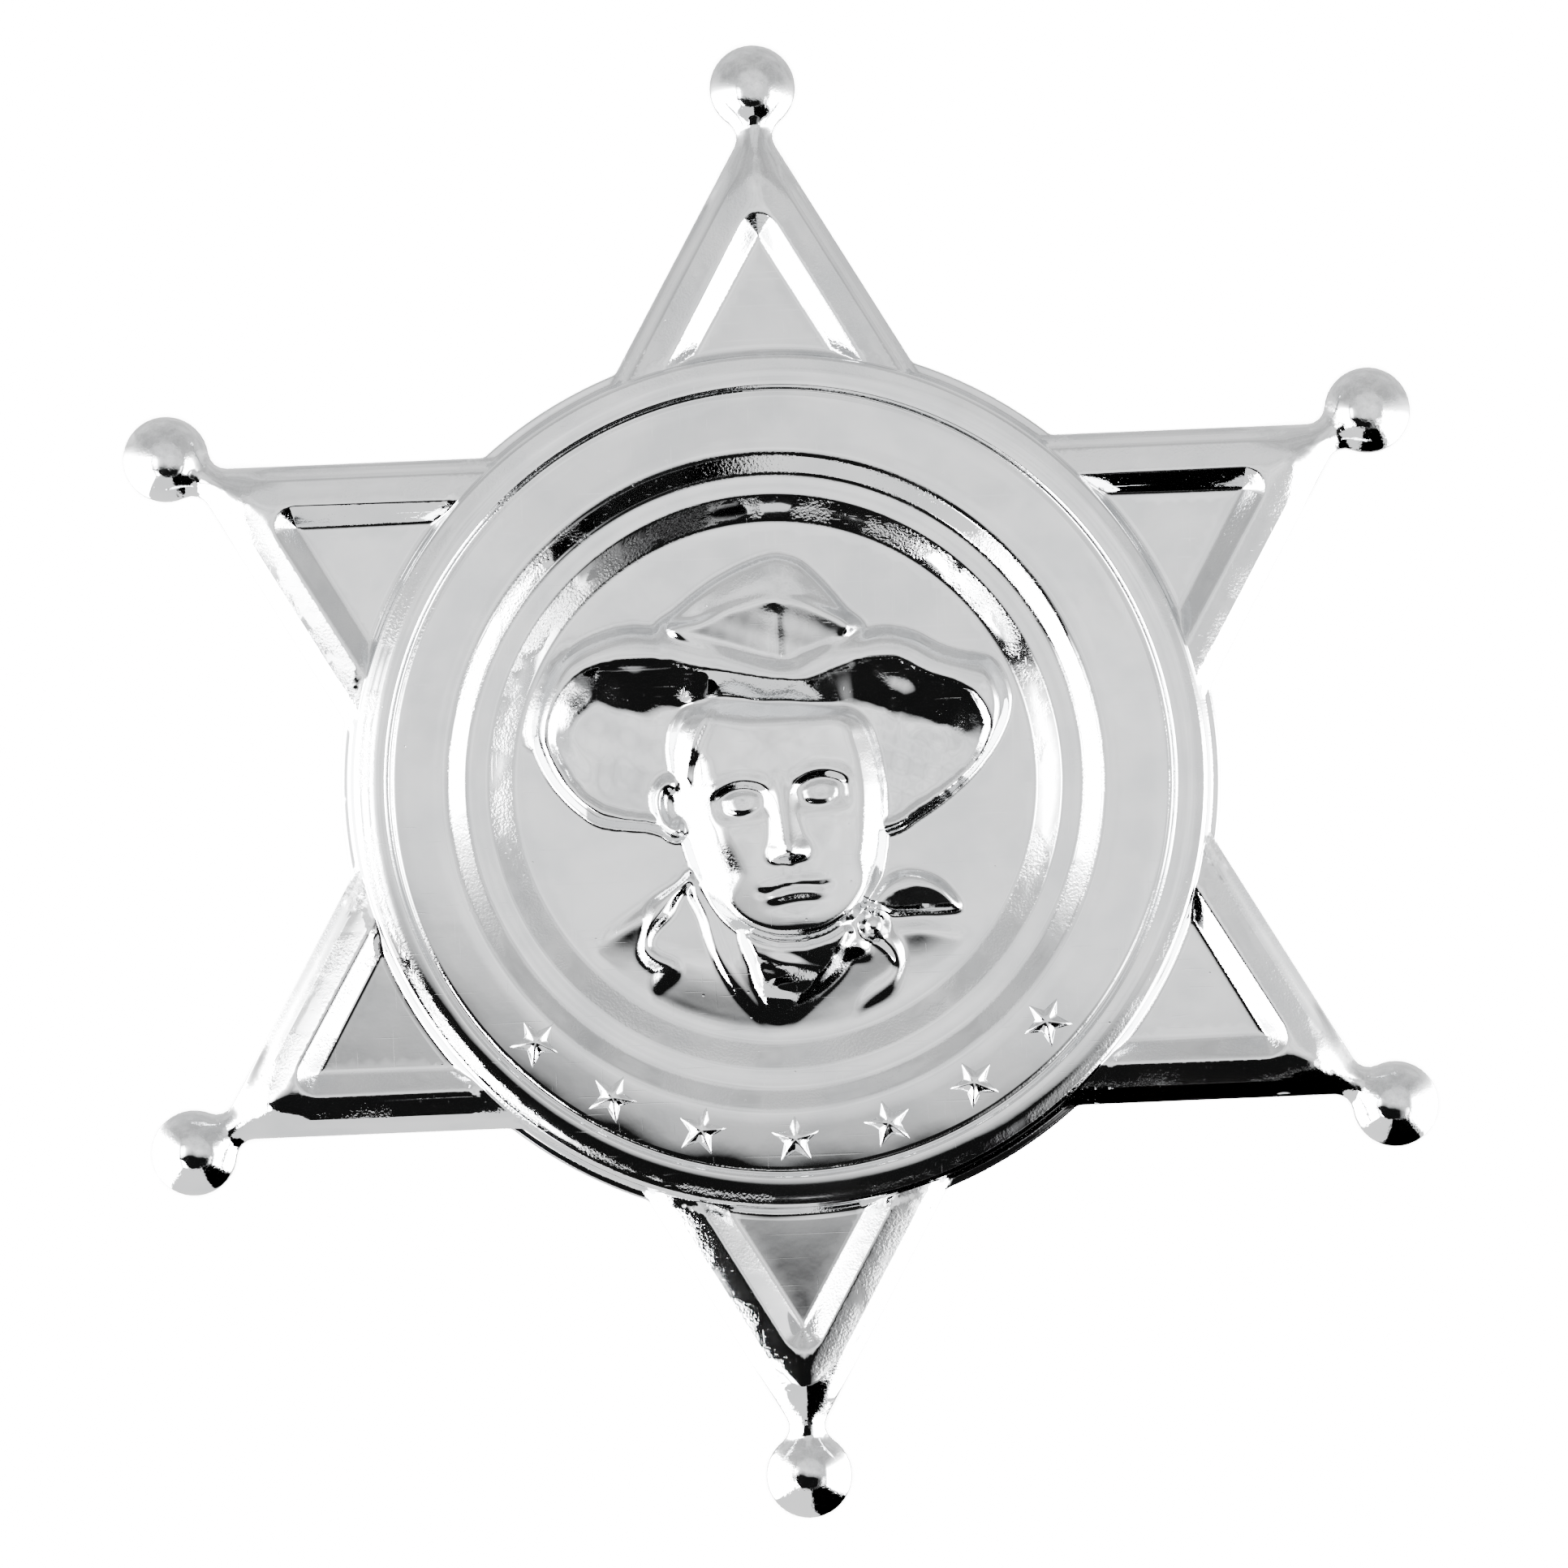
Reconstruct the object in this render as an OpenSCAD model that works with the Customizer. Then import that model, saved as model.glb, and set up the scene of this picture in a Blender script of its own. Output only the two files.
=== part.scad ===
// A six-pointed star badge, pressed from one sheet of plated metal and hollow at the back,
// with a brooch pin behind it. It lies face up: +Z comes out of its face, +Y is its top point,
// and the origin is the centre of its back, on the plane that its flange rests on.
// All sizes are in millimetres.

/* [Sheet] */
// Thickness of the pressed sheet
sheet_t = 0.4; // [0.3:0.05:0.5]
// Width of the flat flange that is left round the outline
flange_w = 0.55; // [0.4:0.05:0.9]

/* [Star points] */
// Distance from the centre to the corner that the two edges of a point would meet in
point_r = 34.6; // [32:0.2:40]
// Height of the flat land on top of a point
land_h = 2.9; // [2.6:0.1:3.2]
// Width of the rounded bevel from the flange up to the land, seen from above
bevel_w = 1.5; // [1.2:0.1:1.7]
// Height at which the steep lower part of the bevel turns into the shallow upper part
bevel_turn_h = 2.1; // [1.8:0.1:2.4]

/* [Recess in each point] */
// Distance from the outline to the upper edge of the recess
recess_inset = 2.2; // [2.1:0.1:3]
// Width of the sloping wall of the recess, seen from above
recess_slope_w = 0.9; // [0.6:0.1:1.2]
// Height of the flat floor of the recess
recess_floor_h = 2.0; // [1.6:0.1:2.3]
// Radius of the corner at the apex of the recess, along its upper edge
recess_corner_r = 0.8; // [0.5:0.1:1.2]
// Gap between the ring and the foot of the recess
recess_gap = 0.5; // [0.3:0.1:1.5]

/* [Ball tips] */
// Radius of the ball
ball_r = 2.2; // [1.8:0.1:2.6]
// Distance that the centre of the ball lies past the corner of the point
ball_reach = 1.2; // [0.6:0.1:1.4]
// Height of the widest part of the ball above the resting plane
ball_seat_h = 0.4; // [0.2:0.1:0.6]
// Width of the neck between the point and the ball
neck_w = 2.0; // [1.6:0.1:2.6]
// Height of the top of the neck
neck_h = 1.8; // [1.5:0.1:2.3]

/* [Ring] */
// Radius of the ring at the outside of its flange
ring_r = 22.65; // [22:0.05:24]
// Width of the steep outer skirt, seen from above
skirt_w = 0.6; // [0.3:0.05:0.8]
// Height of the crest of the rim
crest_h = 3.5; // [3.3:0.1:4.2]
// Width of the flat crest
crest_w = 1.2; // [0.8:0.1:1.8]
// Width of the small step from the crest down to the band
crest_step_w = 0.5; // [0.3:0.1:0.9]
// Width of the band that carries the ornaments
band_w = 2.85; // [2.4:0.05:3.4]
// Height of the band along its inner edge
band_h = 3.35; // [3.2:0.05:3.6]
// Drop of the band from its inner edge to its outer edge
band_drop = 0.2; // [0:0.05:0.4]
// Width of the upper slope of the stepped recess
upper_slope_w = 1.15; // [0.8:0.05:1.6]
// Width of the ledge between the two slopes
ledge_w = 1.0; // [0.6:0.1:1.4]
// Height of the ledge
ledge_h = 2.65; // [2.5:0.05:2.9]
// Width of the lower slope of the stepped recess
lower_slope_w = 1.4; // [0.9:0.1:1.8]
// Height of the round field
field_h = 1.95; // [1.7:0.05:2.2]

/* [Ornaments on the band] */
// Number of small stars
ornament_count = 7; // [3:1:9]
// Angle from one small star to the next
ornament_pitch = 15.2; // [13:0.2:18]
// Radius of a small star over its points
ornament_r = 1.35; // [1:0.05:1.4]
// Height that a small star stands above the band
ornament_rise = 0.35; // [0.2:0.05:0.5]

/* [Relief] */
// Greatest height of the relief above the field
relief_rise = 2.6; // [1.6:0.1:3]
// Width of the rolled front edge of the hat's brim
roll_w = 1.2; // [0.8:0.1:1.6]
// Half width of the head
head_half_w = 5.3; // [4.8:0.1:5.8]
// Angle that the head leans to
head_tilt = 6; // [0:1:12]

/* [Brooch pin] */
// Length of the base strip
strip_l = 17; // [12:0.5:18]
// Width of the base strip
strip_w = 2.2; // [1.8:0.1:2.4]
// Thickness of the base strip
strip_t = 0.5; // [0.4:0.1:0.7]
// Diameter of the pin wire
wire_d = 0.8; // [0.6:0.1:1]
// Height of the middle of the wire above the resting plane
wire_h = 0.9; // [0.8:0.1:1.1]
// Length of the sharp end of the wire, past the catch
wire_tip_l = 1.6; // [1:0.1:2]
// Width of the catch along the wire
catch_w = 1.6; // [1.2:0.1:2]
// Thickness of the catch's metal
catch_t = 0.4; // [0.3:0.05:0.5]
// Gap between the base strip and the back of the sheet
strip_gap = 0.08; // [0.05:0.01:0.2]

/* [Hidden] */
$fn = 96;

// Radii of the ring's section, from the outside in
skirt_foot_r = ring_r - flange_w;
crest_outer_r = skirt_foot_r - skirt_w;
crest_inner_r = crest_outer_r - crest_w;
band_outer_r = crest_inner_r - crest_step_w;
band_inner_r = band_outer_r - band_w;
ledge_outer_r = band_inner_r - upper_slope_w;
ledge_inner_r = ledge_outer_r - ledge_w;
field_r = ledge_inner_r - lower_slope_w;
crest_mid_r = (crest_outer_r + crest_inner_r) / 2;

// Places that follow from the star's size
edge_d = point_r / 2;
ball_centre_r = point_r + ball_reach;
recess_foot_r = skirt_foot_r + recess_gap;
ornament_ring_r = band_outer_r - band_w / 2;

// How far a hollow is cut past the plane that it opens in
below = 1;

// The bevel's steep part takes this share of its width
bevel_turn_share = 0.4;
bevel_turn_w = bevel_w * bevel_turn_share;

// Corner radius at the apex of the recess, along its floor
recess_floor_corner_r = 0.25;

// Radius of a small star between its points, as a share of its radius over them, and how much
// smaller the hollow behind it is
ornament_waist = 0.45;
ornament_wall = 1.3 * sheet_t;

// The wall is this much wider than the sheet where it is cut level, on a slope of run over rise
function level_wall(run, rise) = sheet_t * norm([run, rise]) / rise;

function smooth(t) = let (u = max(0, min(1, t))) u * u * (3 - 2 * u);
function mix(a, b, t) = a + (b - a) * t;

// Star

// A three-sided frustum about the Z axis, whose sides stand low_d from the axis at height low_h
// and high_d at height high_h
module frustum(low_h, high_h, low_d, high_d) {
    translate([0, 0, low_h])
        cylinder(h = high_h - low_h, r1 = 2 * low_d, r2 = 2 * high_d, $fn = 3);
}

// Distance from the axis to a side that passes through [d0, h0] and [d1, h1], at height h
function side_d(d0, h0, d1, h1, h) = d0 + (d1 - d0) * (h - h0) / (h1 - h0);

// One large triangle of the star up to height top_h, with both parts of its bevel moved
// in by the level walls in_low and in_high
module raised_triangle(bottom_h, top_h, in_low, in_high) {
    foot_d = edge_d - flange_w;
    turn_d = foot_d - bevel_turn_w;
    land_d = foot_d - bevel_w;
    intersection() {
        frustum(bottom_h, top_h,
            side_d(foot_d, sheet_t, turn_d, bevel_turn_h, bottom_h) - in_low,
            side_d(foot_d, sheet_t, turn_d, bevel_turn_h, top_h) - in_low);
        frustum(bottom_h, top_h,
            side_d(turn_d, bevel_turn_h, land_d, land_h, bottom_h) - in_high,
            side_d(turn_d, bevel_turn_h, land_d, land_h, top_h) - in_high);
    }
}

module both_triangles() {
    for (turn = [90, -90])
        rotate(turn) children();
}

module star_outside() {
    both_triangles() {
        linear_extrude(sheet_t) circle(r = point_r, $fn = 3);
        raised_triangle(0, land_h, 0, 0);
    }
}

module star_inside() {
    in_low = level_wall(bevel_turn_w, bevel_turn_h - sheet_t);
    in_high = level_wall(bevel_w - bevel_turn_w, land_h - bevel_turn_h);
    both_triangles()
        raised_triangle(-below, land_h - sheet_t, in_low, in_high);
}

// The recesses of the three points of each large triangle, as one shape with rounded corners,
// grown by the sheet's thickness where it is cut out of the hollow
module recesses(grow) {
    slope = recess_slope_w / (land_h - recess_floor_h);
    wall = grow > 0 ? level_wall(recess_slope_w, land_h - recess_floor_h) : 0;
    low_h = recess_floor_h - grow;
    high_h = land_h + sheet_t;
    low_d = edge_d - recess_inset - recess_slope_w - slope * grow + wall;
    high_d = low_d + slope * (high_h - low_h);
    low_r = recess_floor_corner_r + wall;
    high_r = recess_corner_r + wall;
    difference() {
        both_triangles()
            hull()
                for (corner = [0, 120, 240])
                    rotate(corner)
                        for (end = [[low_h, low_d, low_r], [high_h, high_d, high_r]])
                            translate([2 * (end[1] - end[2]), 0, end[0]])
                                cylinder(h = 0.01, r = end[2], $fn = 32);
        translate([0, 0, low_h - below])
            cylinder(h = high_h - low_h + 2 * below,
                r1 = recess_foot_r - wall + slope * (land_h - low_h + below),
                r2 = recess_foot_r - wall - slope * (high_h - land_h + below));
    }
}

// Ball and neck of all six points, with their surface moved in by the distance inset
module ball_tips(inset) {
    low_h = inset > 0 ? -below : 0;
    neck_r = neck_w / 2 - inset;
    neck_axis_h = neck_h - neck_w / 2;
    neck_l = 2 * neck_w + ball_reach;
    neck_start_r = ball_centre_r - neck_l;
    for (corner = [0:5])
        rotate(corner * 60 + 30) {
            translate([ball_centre_r, 0, 0]) {
                translate([0, 0, low_h])
                    cylinder(h = ball_seat_h - low_h, r = ball_r - inset);
                intersection() {
                    translate([0, 0, ball_seat_h]) sphere(r = ball_r - inset);
                    translate([-2 * ball_r, -2 * ball_r, low_h]) cube(4 * ball_r);
                }
            }
            translate([neck_start_r, 0, neck_axis_h])
                rotate([0, 90, 0]) cylinder(h = neck_l, r = neck_r);
            translate([neck_start_r, -neck_r, low_h])
                cube([neck_l, 2 * neck_r, neck_axis_h - low_h]);
        }
}

// Ring

// The face of the ring as points of its section, from its outer skirt to the middle of the field
ring_face = [
    [crest_outer_r, crest_h], [crest_inner_r, crest_h],
    [band_outer_r, band_h - band_drop], [band_inner_r, band_h],
    [ledge_outer_r, ledge_h], [ledge_inner_r, ledge_h],
    [field_r, field_h], [0, field_h]
];

module ring_outside() {
    rotate_extrude()
        polygon(concat(
            [[0, 0], [ring_r, 0], [ring_r, sheet_t], [skirt_foot_r, sheet_t]],
            ring_face));
}

module ring_inside() {
    skirt_wall = level_wall(skirt_w, crest_h - sheet_t);
    rotate_extrude()
        polygon(concat(
            [[0, -below], [skirt_foot_r - skirt_wall, -below], [skirt_foot_r - skirt_wall, 0]],
            [for (i = [0:len(ring_face) - 1])
                [ring_face[i][0] - (i == 0 ? skirt_wall : 0), ring_face[i][1] - sheet_t]]));
}

module small_star(r) {
    polygon([for (i = [0:9])
        (i % 2 == 0 ? r : ornament_waist * r) * [sin(i * 36), cos(i * 36)]]);
}

// Small stars along the lower part of the band, each one upright as seen from the centre
module ornaments(r, low_h, high_h) {
    for (i = [0:ornament_count - 1])
        rotate(180 + (i - (ornament_count - 1) / 2) * ornament_pitch)
            translate([0, ornament_ring_r, low_h])
                rotate(180)
                    linear_extrude(high_h - low_h) small_star(r);
}

// Relief

// Outlines in hundredths of the field's radius, [across, up], in order round each form
BRIM = [
    [2, 46], [13, 49], [26, 54], [41, 58], [53, 55], [65, 48], [78, 46], [87, 43], [90, 36],
    [87, 20], [79, 3], [63, -10], [47, -19], [39, -22], [-51, -16], [-67, -14], [-80, -8],
    [-91, 3], [-94, 17], [-93, 30], [-86, 49], [-71, 57], [-52, 60], [-35, 57], [-13, 50]
];
CROWN = [
    [-44, 56], [-35, 65], [-20, 75], [-6, 85], [3, 87], [12, 83], [22, 71], [34, 56],
    [20, 40], [-30, 40]
];
PINCH = [[-40, 58], [-20, 65], [0, 70], [14, 67], [30, 57], [2, 44]];
SHOULDERS = [
    [-88, -64], [-70, -53], [-52, -42], [-36, -36], [-30, -60], [28, -66], [38, -52],
    [60, -58], [84, -64], [74, -100], [-74, -100]
];
SCARF = [
    [-36, -36], [-32, -44], [-22, -70], [-8, -97], [10, -84], [28, -68], [33, -56], [10, -50]
];
SCARF_TAIL = [[34, -50], [44, -40], [54, -37], [64, -44], [68, -52], [52, -51], [40, -53]];
LAPELS = [
    [[-36, -38], [-44, -52], [-54, -61], [-46, -68], [-50, -78], [-47, -88], [-38, -93]],
    [[30, -62], [38, -60], [42, -70], [38, -80], [27, -88], [24, -94]]
];
SCARF_KNOT = [33, -55];
HEAD = [1, -14];

// Rise of each form, as a share of the relief's greatest height
CROWN_RISE = 0.62;
PINCH_DEPTH = 0.28;
ROLL_RISE = 0.78;
BRIM_EDGE_RISE = 0.42;
UNDER_BRIM_RISE = 0.30;
JACKET_RISE = 0.26;
LAPEL_RISE = 0.12;
SCARF_RISE = 0.46;
SCARF_FOLD_RISE = 0.06;
TAIL_RISE = 0.34;
KNOT_RISE = 0.55;
NECK_RISE = 0.50;
EAR_RISE = 0.50;
HEAD_RISE = 0.72;

// Half height of the head, and the forms of its face, in shares of its half width from its
// centre; the last column is the rise as above: [across, up, half width, half height, rise]
HEAD_SHARE_H = 1.24;
FACE = [
    [0, 0.42, 0.80, 0.30, 0.04],
    [-0.40, 0.36, 0.34, 0.12, 0.07],
    [0.40, 0.36, 0.34, 0.12, 0.07],
    [-0.40, 0.16, 0.30, 0.20, -0.11],
    [0.40, 0.16, 0.30, 0.20, -0.11],
    [-0.40, 0.15, 0.17, 0.12, 0.06],
    [0.40, 0.15, 0.17, 0.12, 0.06],
    [0, 0.00, 0.15, 0.42, 0.11],
    [0, -0.28, 0.22, 0.17, 0.16],
    [0, -0.60, 0.34, 0.09, 0.06],
    [0, -0.72, 0.26, 0.09, 0.06],
    [0, -1.02, 0.30, 0.17, 0.08]
];

function seg_dist(p, a, b) =
    let (ab = b - a, t = max(0, min(1, (p - a) * ab / (ab * ab)))) norm(p - a - t * ab);
function path_dist(p, path) =
    min([for (i = [0:len(path) - 2]) seg_dist(p, path[i], path[i + 1])]);
function crossings(p, loop) = [
    for (i = [0:len(loop) - 1])
        let (a = loop[i], b = loop[(i + 1) % len(loop)])
            if ((a[1] > p[1]) != (b[1] > p[1])
                && p[0] < a[0] + (b[0] - a[0]) * (p[1] - a[1]) / (b[1] - a[1])) 1
];
// Depth of a point inside a closed outline, negative outside it
function depth(p, loop) =
    let (d = path_dist(p, concat(loop, [loop[0]])))
        len(crossings(p, loop)) % 2 == 1 ? d : -d;
function scaled(table, s) = [for (row = table) s * row];

share = field_r / 100;
brim = scaled(BRIM, share);
crown = scaled(CROWN, share);
pinch = scaled(PINCH, share);
shoulders = scaled(SHOULDERS, share);
scarf = scaled(SCARF, share);
scarf_tail = scaled(SCARF_TAIL, share);
lapels = [for (edge = LAPELS) scaled(edge, share)];
knot = share * SCARF_KNOT;
head_c = share * HEAD;

// Width over which a form rises out of the field, and over which softer forms round off
edge_run = 1.0;
soft_run = 0.8;
// Width of the thin edge along the sides of the brim
side_edge_w = 0.5;
// Distance from one fold of the scarf to the next
fold_pitch = 2.4;

function crown_form(p) =
    let (rise = CROWN_RISE * smooth(depth(p, crown) / edge_run),
        dent = smooth(depth(p, pinch) / soft_run), crease = smooth(1 - abs(p[0]) / soft_run))
        rise - dent * PINCH_DEPTH * (1 + 0.3 * crease);
function brim_form(p) =
    let (d = depth(p, brim), front = smooth(p[1] / (0.4 * field_r)),
        edge_w = mix(side_edge_w, roll_w, front), edge_rise = mix(BRIM_EDGE_RISE, ROLL_RISE, front),
        under = UNDER_BRIM_RISE * (1 + 0.4 * smooth((d - edge_w) / (0.3 * field_r))))
        smooth(d / edge_run) * mix(edge_rise, under, smooth((d - edge_w) / soft_run));
function shoulder_form(p) =
    let (d = smooth(depth(p, shoulders) / edge_run),
        lapel = min([for (edge = lapels) path_dist(p, edge)]))
        d * (JACKET_RISE + LAPEL_RISE * smooth(1 - lapel / soft_run));
function scarf_form(p) =
    smooth(depth(p, scarf) / soft_run)
    * (SCARF_RISE + SCARF_FOLD_RISE * cos(360 * p[1] / fold_pitch));
function tail_form(p) = TAIL_RISE * smooth(depth(p, scarf_tail) / soft_run);
function knot_form(p) = KNOT_RISE * smooth(2 - norm(p - knot) / soft_run);
function neck_form(p) =
    let (d = (p[0] - head_c[0]) / (0.62 * head_half_w))
        p[1] < head_c[1] && p[1] > -0.75 * field_r ? NECK_RISE * sqrt(max(0, 1 - d * d)) : 0;

// The same point in the head's own frame, in shares of its half width
function in_head(p) =
    let (q = p - head_c, c = cos(head_tilt), s = sin(head_tilt))
        [q[0] * c + q[1] * s, q[1] * c - q[0] * s] / head_half_w;
function face_form(q) =
    [for (form = FACE)
        form[4] * smooth(1.5 - norm([(q[0] - form[0]) / form[2], (q[1] - form[1]) / form[3]]))]
    * [for (form = FACE) 1];
function head_form(p) =
    let (q = in_head(p), jaw = 1 - 0.34 * smooth(-q[1] / HEAD_SHARE_H),
        d = norm([q[0] / jaw, q[1] / HEAD_SHARE_H]))
        d < 1 && p[1] < 0.36 * field_r
            ? HEAD_RISE * pow(1 - d * d, 0.42) + face_form(q) * smooth((1 - d) / 0.12)
            : 0;
function ear_form(p) =
    let (q = in_head(p))
        EAR_RISE * smooth(2.2 - 1.6 * norm([(q[0] + 1.06) / 0.2, (q[1] - 0.1) / 0.34]));

// Height of the relief above the field
function relief(p) =
    let (inside = smooth((plate_r - norm(p)) / edge_run))
        relief_rise * inside * max(crown_form(p), brim_form(p), shoulder_form(p), scarf_form(p),
            tail_form(p), knot_form(p), neck_form(p), head_form(p), ear_form(p));

// The plate that the relief is worked in: rows of points across the field, from the lowest
// point of its round edge to the highest, with the same number of points in every row
plate_rows = 48;
plate_cols = 42;
plate_margin = 0.2;
plate_r = field_r - plate_margin;
function row_y(row) = plate_r * (2 * row / plate_rows - 1);
function row_reach(row) = sqrt(plate_r * plate_r - row_y(row) * row_y(row));
function plate_point(row, col) = [row_reach(row) * (2 * col / plate_cols - 1), row_y(row)];
function plate_edge() = concat(
    [[0, -plate_r]],
    [for (row = [1:plate_rows - 1]) plate_point(row, plate_cols)],
    [[0, plate_r]],
    [for (row = [plate_rows - 1:-1:1]) plate_point(row, 0)]);

module relief_plate() {
    wide = plate_cols + 1;
    side = wide * (plate_rows - 1) + 2;
    grid = concat(
        [for (row = [1:plate_rows - 1], col = [0:plate_cols]) plate_point(row, col)],
        [[0, -plate_r], [0, plate_r]]);
    rises = [for (p = grid) relief(p)];
    points = [for (level = [0, sheet_t], i = [0:side - 1])
        [grid[i][0], grid[i][1], field_h + rises[i] - level]];
    low = side - 2;
    high = side - 1;
    last = wide * (plate_rows - 2);
    top = concat(
        [for (row = [0:plate_rows - 3], col = [0:plate_cols - 1])
            let (a = row * wide + col) each [[a, a + wide, a + 1], [a + 1, a + wide, a + wide + 1]]],
        [for (col = [0:plate_cols - 1]) each
            [[low, col, col + 1], [high, last + col + 1, last + col]]]);
    rim = concat([low], [for (row = [0:plate_rows - 2]) row * wide + plate_cols], [high],
        [for (row = [plate_rows - 2:-1:0]) row * wide]);
    walls = [for (i = [0:len(rim) - 1])
        let (a = rim[i], b = rim[(i + 1) % len(rim)])
            each [[a, b, b + side], [a, b + side, a + side]]];
    polyhedron(points, concat(
        top,
        [for (face = top) [face[2] + side, face[1] + side, face[0] + side]],
        walls));
}

// Nodes

module star_shell() {
    color("gainsboro") {
        difference() {
            union() {
                difference() {
                    star_outside();
                    cylinder(h = 4 * crest_h, r = crest_mid_r, center = true);
                }
                ring_outside();
                ball_tips(0);
                ornaments(ornament_r, field_h, band_h + ornament_rise);
            }
            recesses(0);
            difference() {
                union() {
                    difference() {
                        star_inside();
                        cylinder(h = 4 * crest_h, r = crest_mid_r, center = true);
                    }
                    ring_inside();
                    ball_tips(sheet_t);
                }
                recesses(sheet_t);
            }
            ornaments(ornament_r - ornament_wall, -below, band_h + ornament_rise - sheet_t);
            linear_extrude(crest_h) polygon(plate_edge());
        }
        relief_plate();
    }
}

module brooch_pin() {
    pin_y = band_inner_r + strip_w / 2 + strip_gap;
    strip_top = band_h - band_drop - sheet_t - strip_gap;
    strip_low = strip_top - strip_t;
    straight_x = (strip_l - strip_w) / 2;
    barrel_r = wire_d / 2 + catch_t;
    // Posts end inside the strip, so that strip and posts are one solid
    post_top = strip_low + strip_t / 2;
    color("silver")
        translate([0, pin_y, 0]) {
            // Base strip with round ends
            translate([0, 0, strip_low])
                linear_extrude(strip_t) {
                    for (end = [-1, 1])
                        translate([end * straight_x, 0]) circle(d = strip_w);
                    translate([-straight_x, -strip_w / 2]) square([2 * straight_x, strip_w]);
                }
            // Hinge barrel and the post that holds it
            translate([-straight_x, 0, wire_h])
                rotate([90, 0, 0]) cylinder(h = strip_w, r = barrel_r, center = true);
            translate([-straight_x - barrel_r, -strip_w / 2, wire_h])
                cube([barrel_r, strip_w, post_top - wire_h]);
            // Wire with its sharp end past the catch
            translate([-straight_x, 0, wire_h])
                rotate([0, 90, 0]) cylinder(h = 2 * straight_x, d = wire_d);
            translate([straight_x, 0, wire_h])
                rotate([0, 90, 0]) cylinder(h = wire_tip_l, d1 = wire_d, d2 = wire_d / 4);
            // Catch: a post beside the wire and a hook under it
            translate([straight_x - catch_w / 2, wire_d / 2, wire_h - wire_d / 2])
                cube([catch_w, catch_t, post_top - wire_h + wire_d / 2]);
            translate([straight_x - catch_w / 2, -wire_d / 2, wire_h - wire_d / 2 - catch_t / 2])
                cube([catch_w, wire_d + catch_t, catch_t]);
        }
}

star_shell();
brooch_pin();
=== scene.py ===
"""Looks, light and camera of a pressed six-pointed star badge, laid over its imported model.

The badge lies face up: +Z comes out of its face, +Y is its top point and the origin is the centre
of its back. Shapes are worked out in millimetres and become metres when their mesh is made.
"""

import logging
import math
from collections.abc import Sequence
from dataclasses import dataclass, field
from enum import Enum

import bmesh
import bpy
import numpy as np
from mathutils import Matrix, Vector
from mathutils.geometry import delaunay_2d_cdt


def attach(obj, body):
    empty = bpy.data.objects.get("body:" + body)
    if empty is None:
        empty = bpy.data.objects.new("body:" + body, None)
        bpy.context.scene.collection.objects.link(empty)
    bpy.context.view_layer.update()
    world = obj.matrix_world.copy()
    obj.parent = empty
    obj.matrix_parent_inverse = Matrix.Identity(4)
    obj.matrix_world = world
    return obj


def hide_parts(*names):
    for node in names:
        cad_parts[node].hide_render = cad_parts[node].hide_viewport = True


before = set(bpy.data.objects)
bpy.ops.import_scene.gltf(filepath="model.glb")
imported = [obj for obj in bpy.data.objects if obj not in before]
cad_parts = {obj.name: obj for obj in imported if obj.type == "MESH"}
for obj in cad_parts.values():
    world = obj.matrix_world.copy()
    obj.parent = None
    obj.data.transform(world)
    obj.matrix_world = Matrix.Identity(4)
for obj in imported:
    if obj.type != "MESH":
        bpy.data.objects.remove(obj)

MM = 0.001
LOG = logging.getLogger("star_badge")

Array = np.ndarray
Profile = Sequence[tuple[float, float, float]]
Loop = Sequence[tuple[float, float]]
CardRows = tuple[tuple[tuple[float, float, float, float], ...], ...]

# Cosine of 30 degrees, which is the slant of the points' edges
COS_30 = 0.8660254
# Degrees between two points of a ring, and the radius where the mesh of the points begins
RING_STEP = 0.75
WEDGE_R = 21.0
# Within this radius the rows of mesh points follow the ring, beyond it the star's points
FOOT_R = 22.3


class SheetSide(Enum):
    """A side of the pressed sheet."""

    FRONT = "front"
    BACK = "back"


class Axis(Enum):
    """A direction that a part of the pin follows."""

    X = "x"
    Y = "y"


# Shape helpers


def smoothstep(x: Array, low: float, high: float) -> Array:
    """Rises smoothly from 0 at low to 1 at high.

    Args:
        x: Values to map.
        low: Value that maps to 0.
        high: Value that maps to 1.

    Returns:
        The mapped values.
    """
    t = np.clip((x - low) / (high - low), 0.0, 1.0)
    return t * t * (3.0 - 2.0 * t)


def soft_max(a: Array, b: Array, width: Array | float) -> Array:
    """The larger of two heights, with a fillet where they cross.

    Args:
        a: First heights.
        b: Second heights.
        width: Difference in height over which the fillet works.

    Returns:
        The joined heights.
    """
    width = np.maximum(width, 1e-6)
    near = np.maximum(width - np.abs(a - b), 0.0)
    return np.maximum(a, b) + near * near / (4.0 * width)


def soft_min(a: Array, b: Array, width: Array | float) -> Array:
    """The smaller of two heights, with a fillet where they cross."""
    return -soft_max(-a, -b, width)


def bell(x: Array, y: Array, at: tuple[float, float], reach: tuple[float, float]) -> Array:
    """A round bump of height 1.

    Args:
        x: Places across.
        y: Places up.
        at: Middle of the bump.
        reach: Distance across and up at which it has fallen to about a third.

    Returns:
        The bump's height at each place.
    """
    return np.exp(-(((x - at[0]) / reach[0]) ** 2) - ((y - at[1]) / reach[1]) ** 2)


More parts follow.
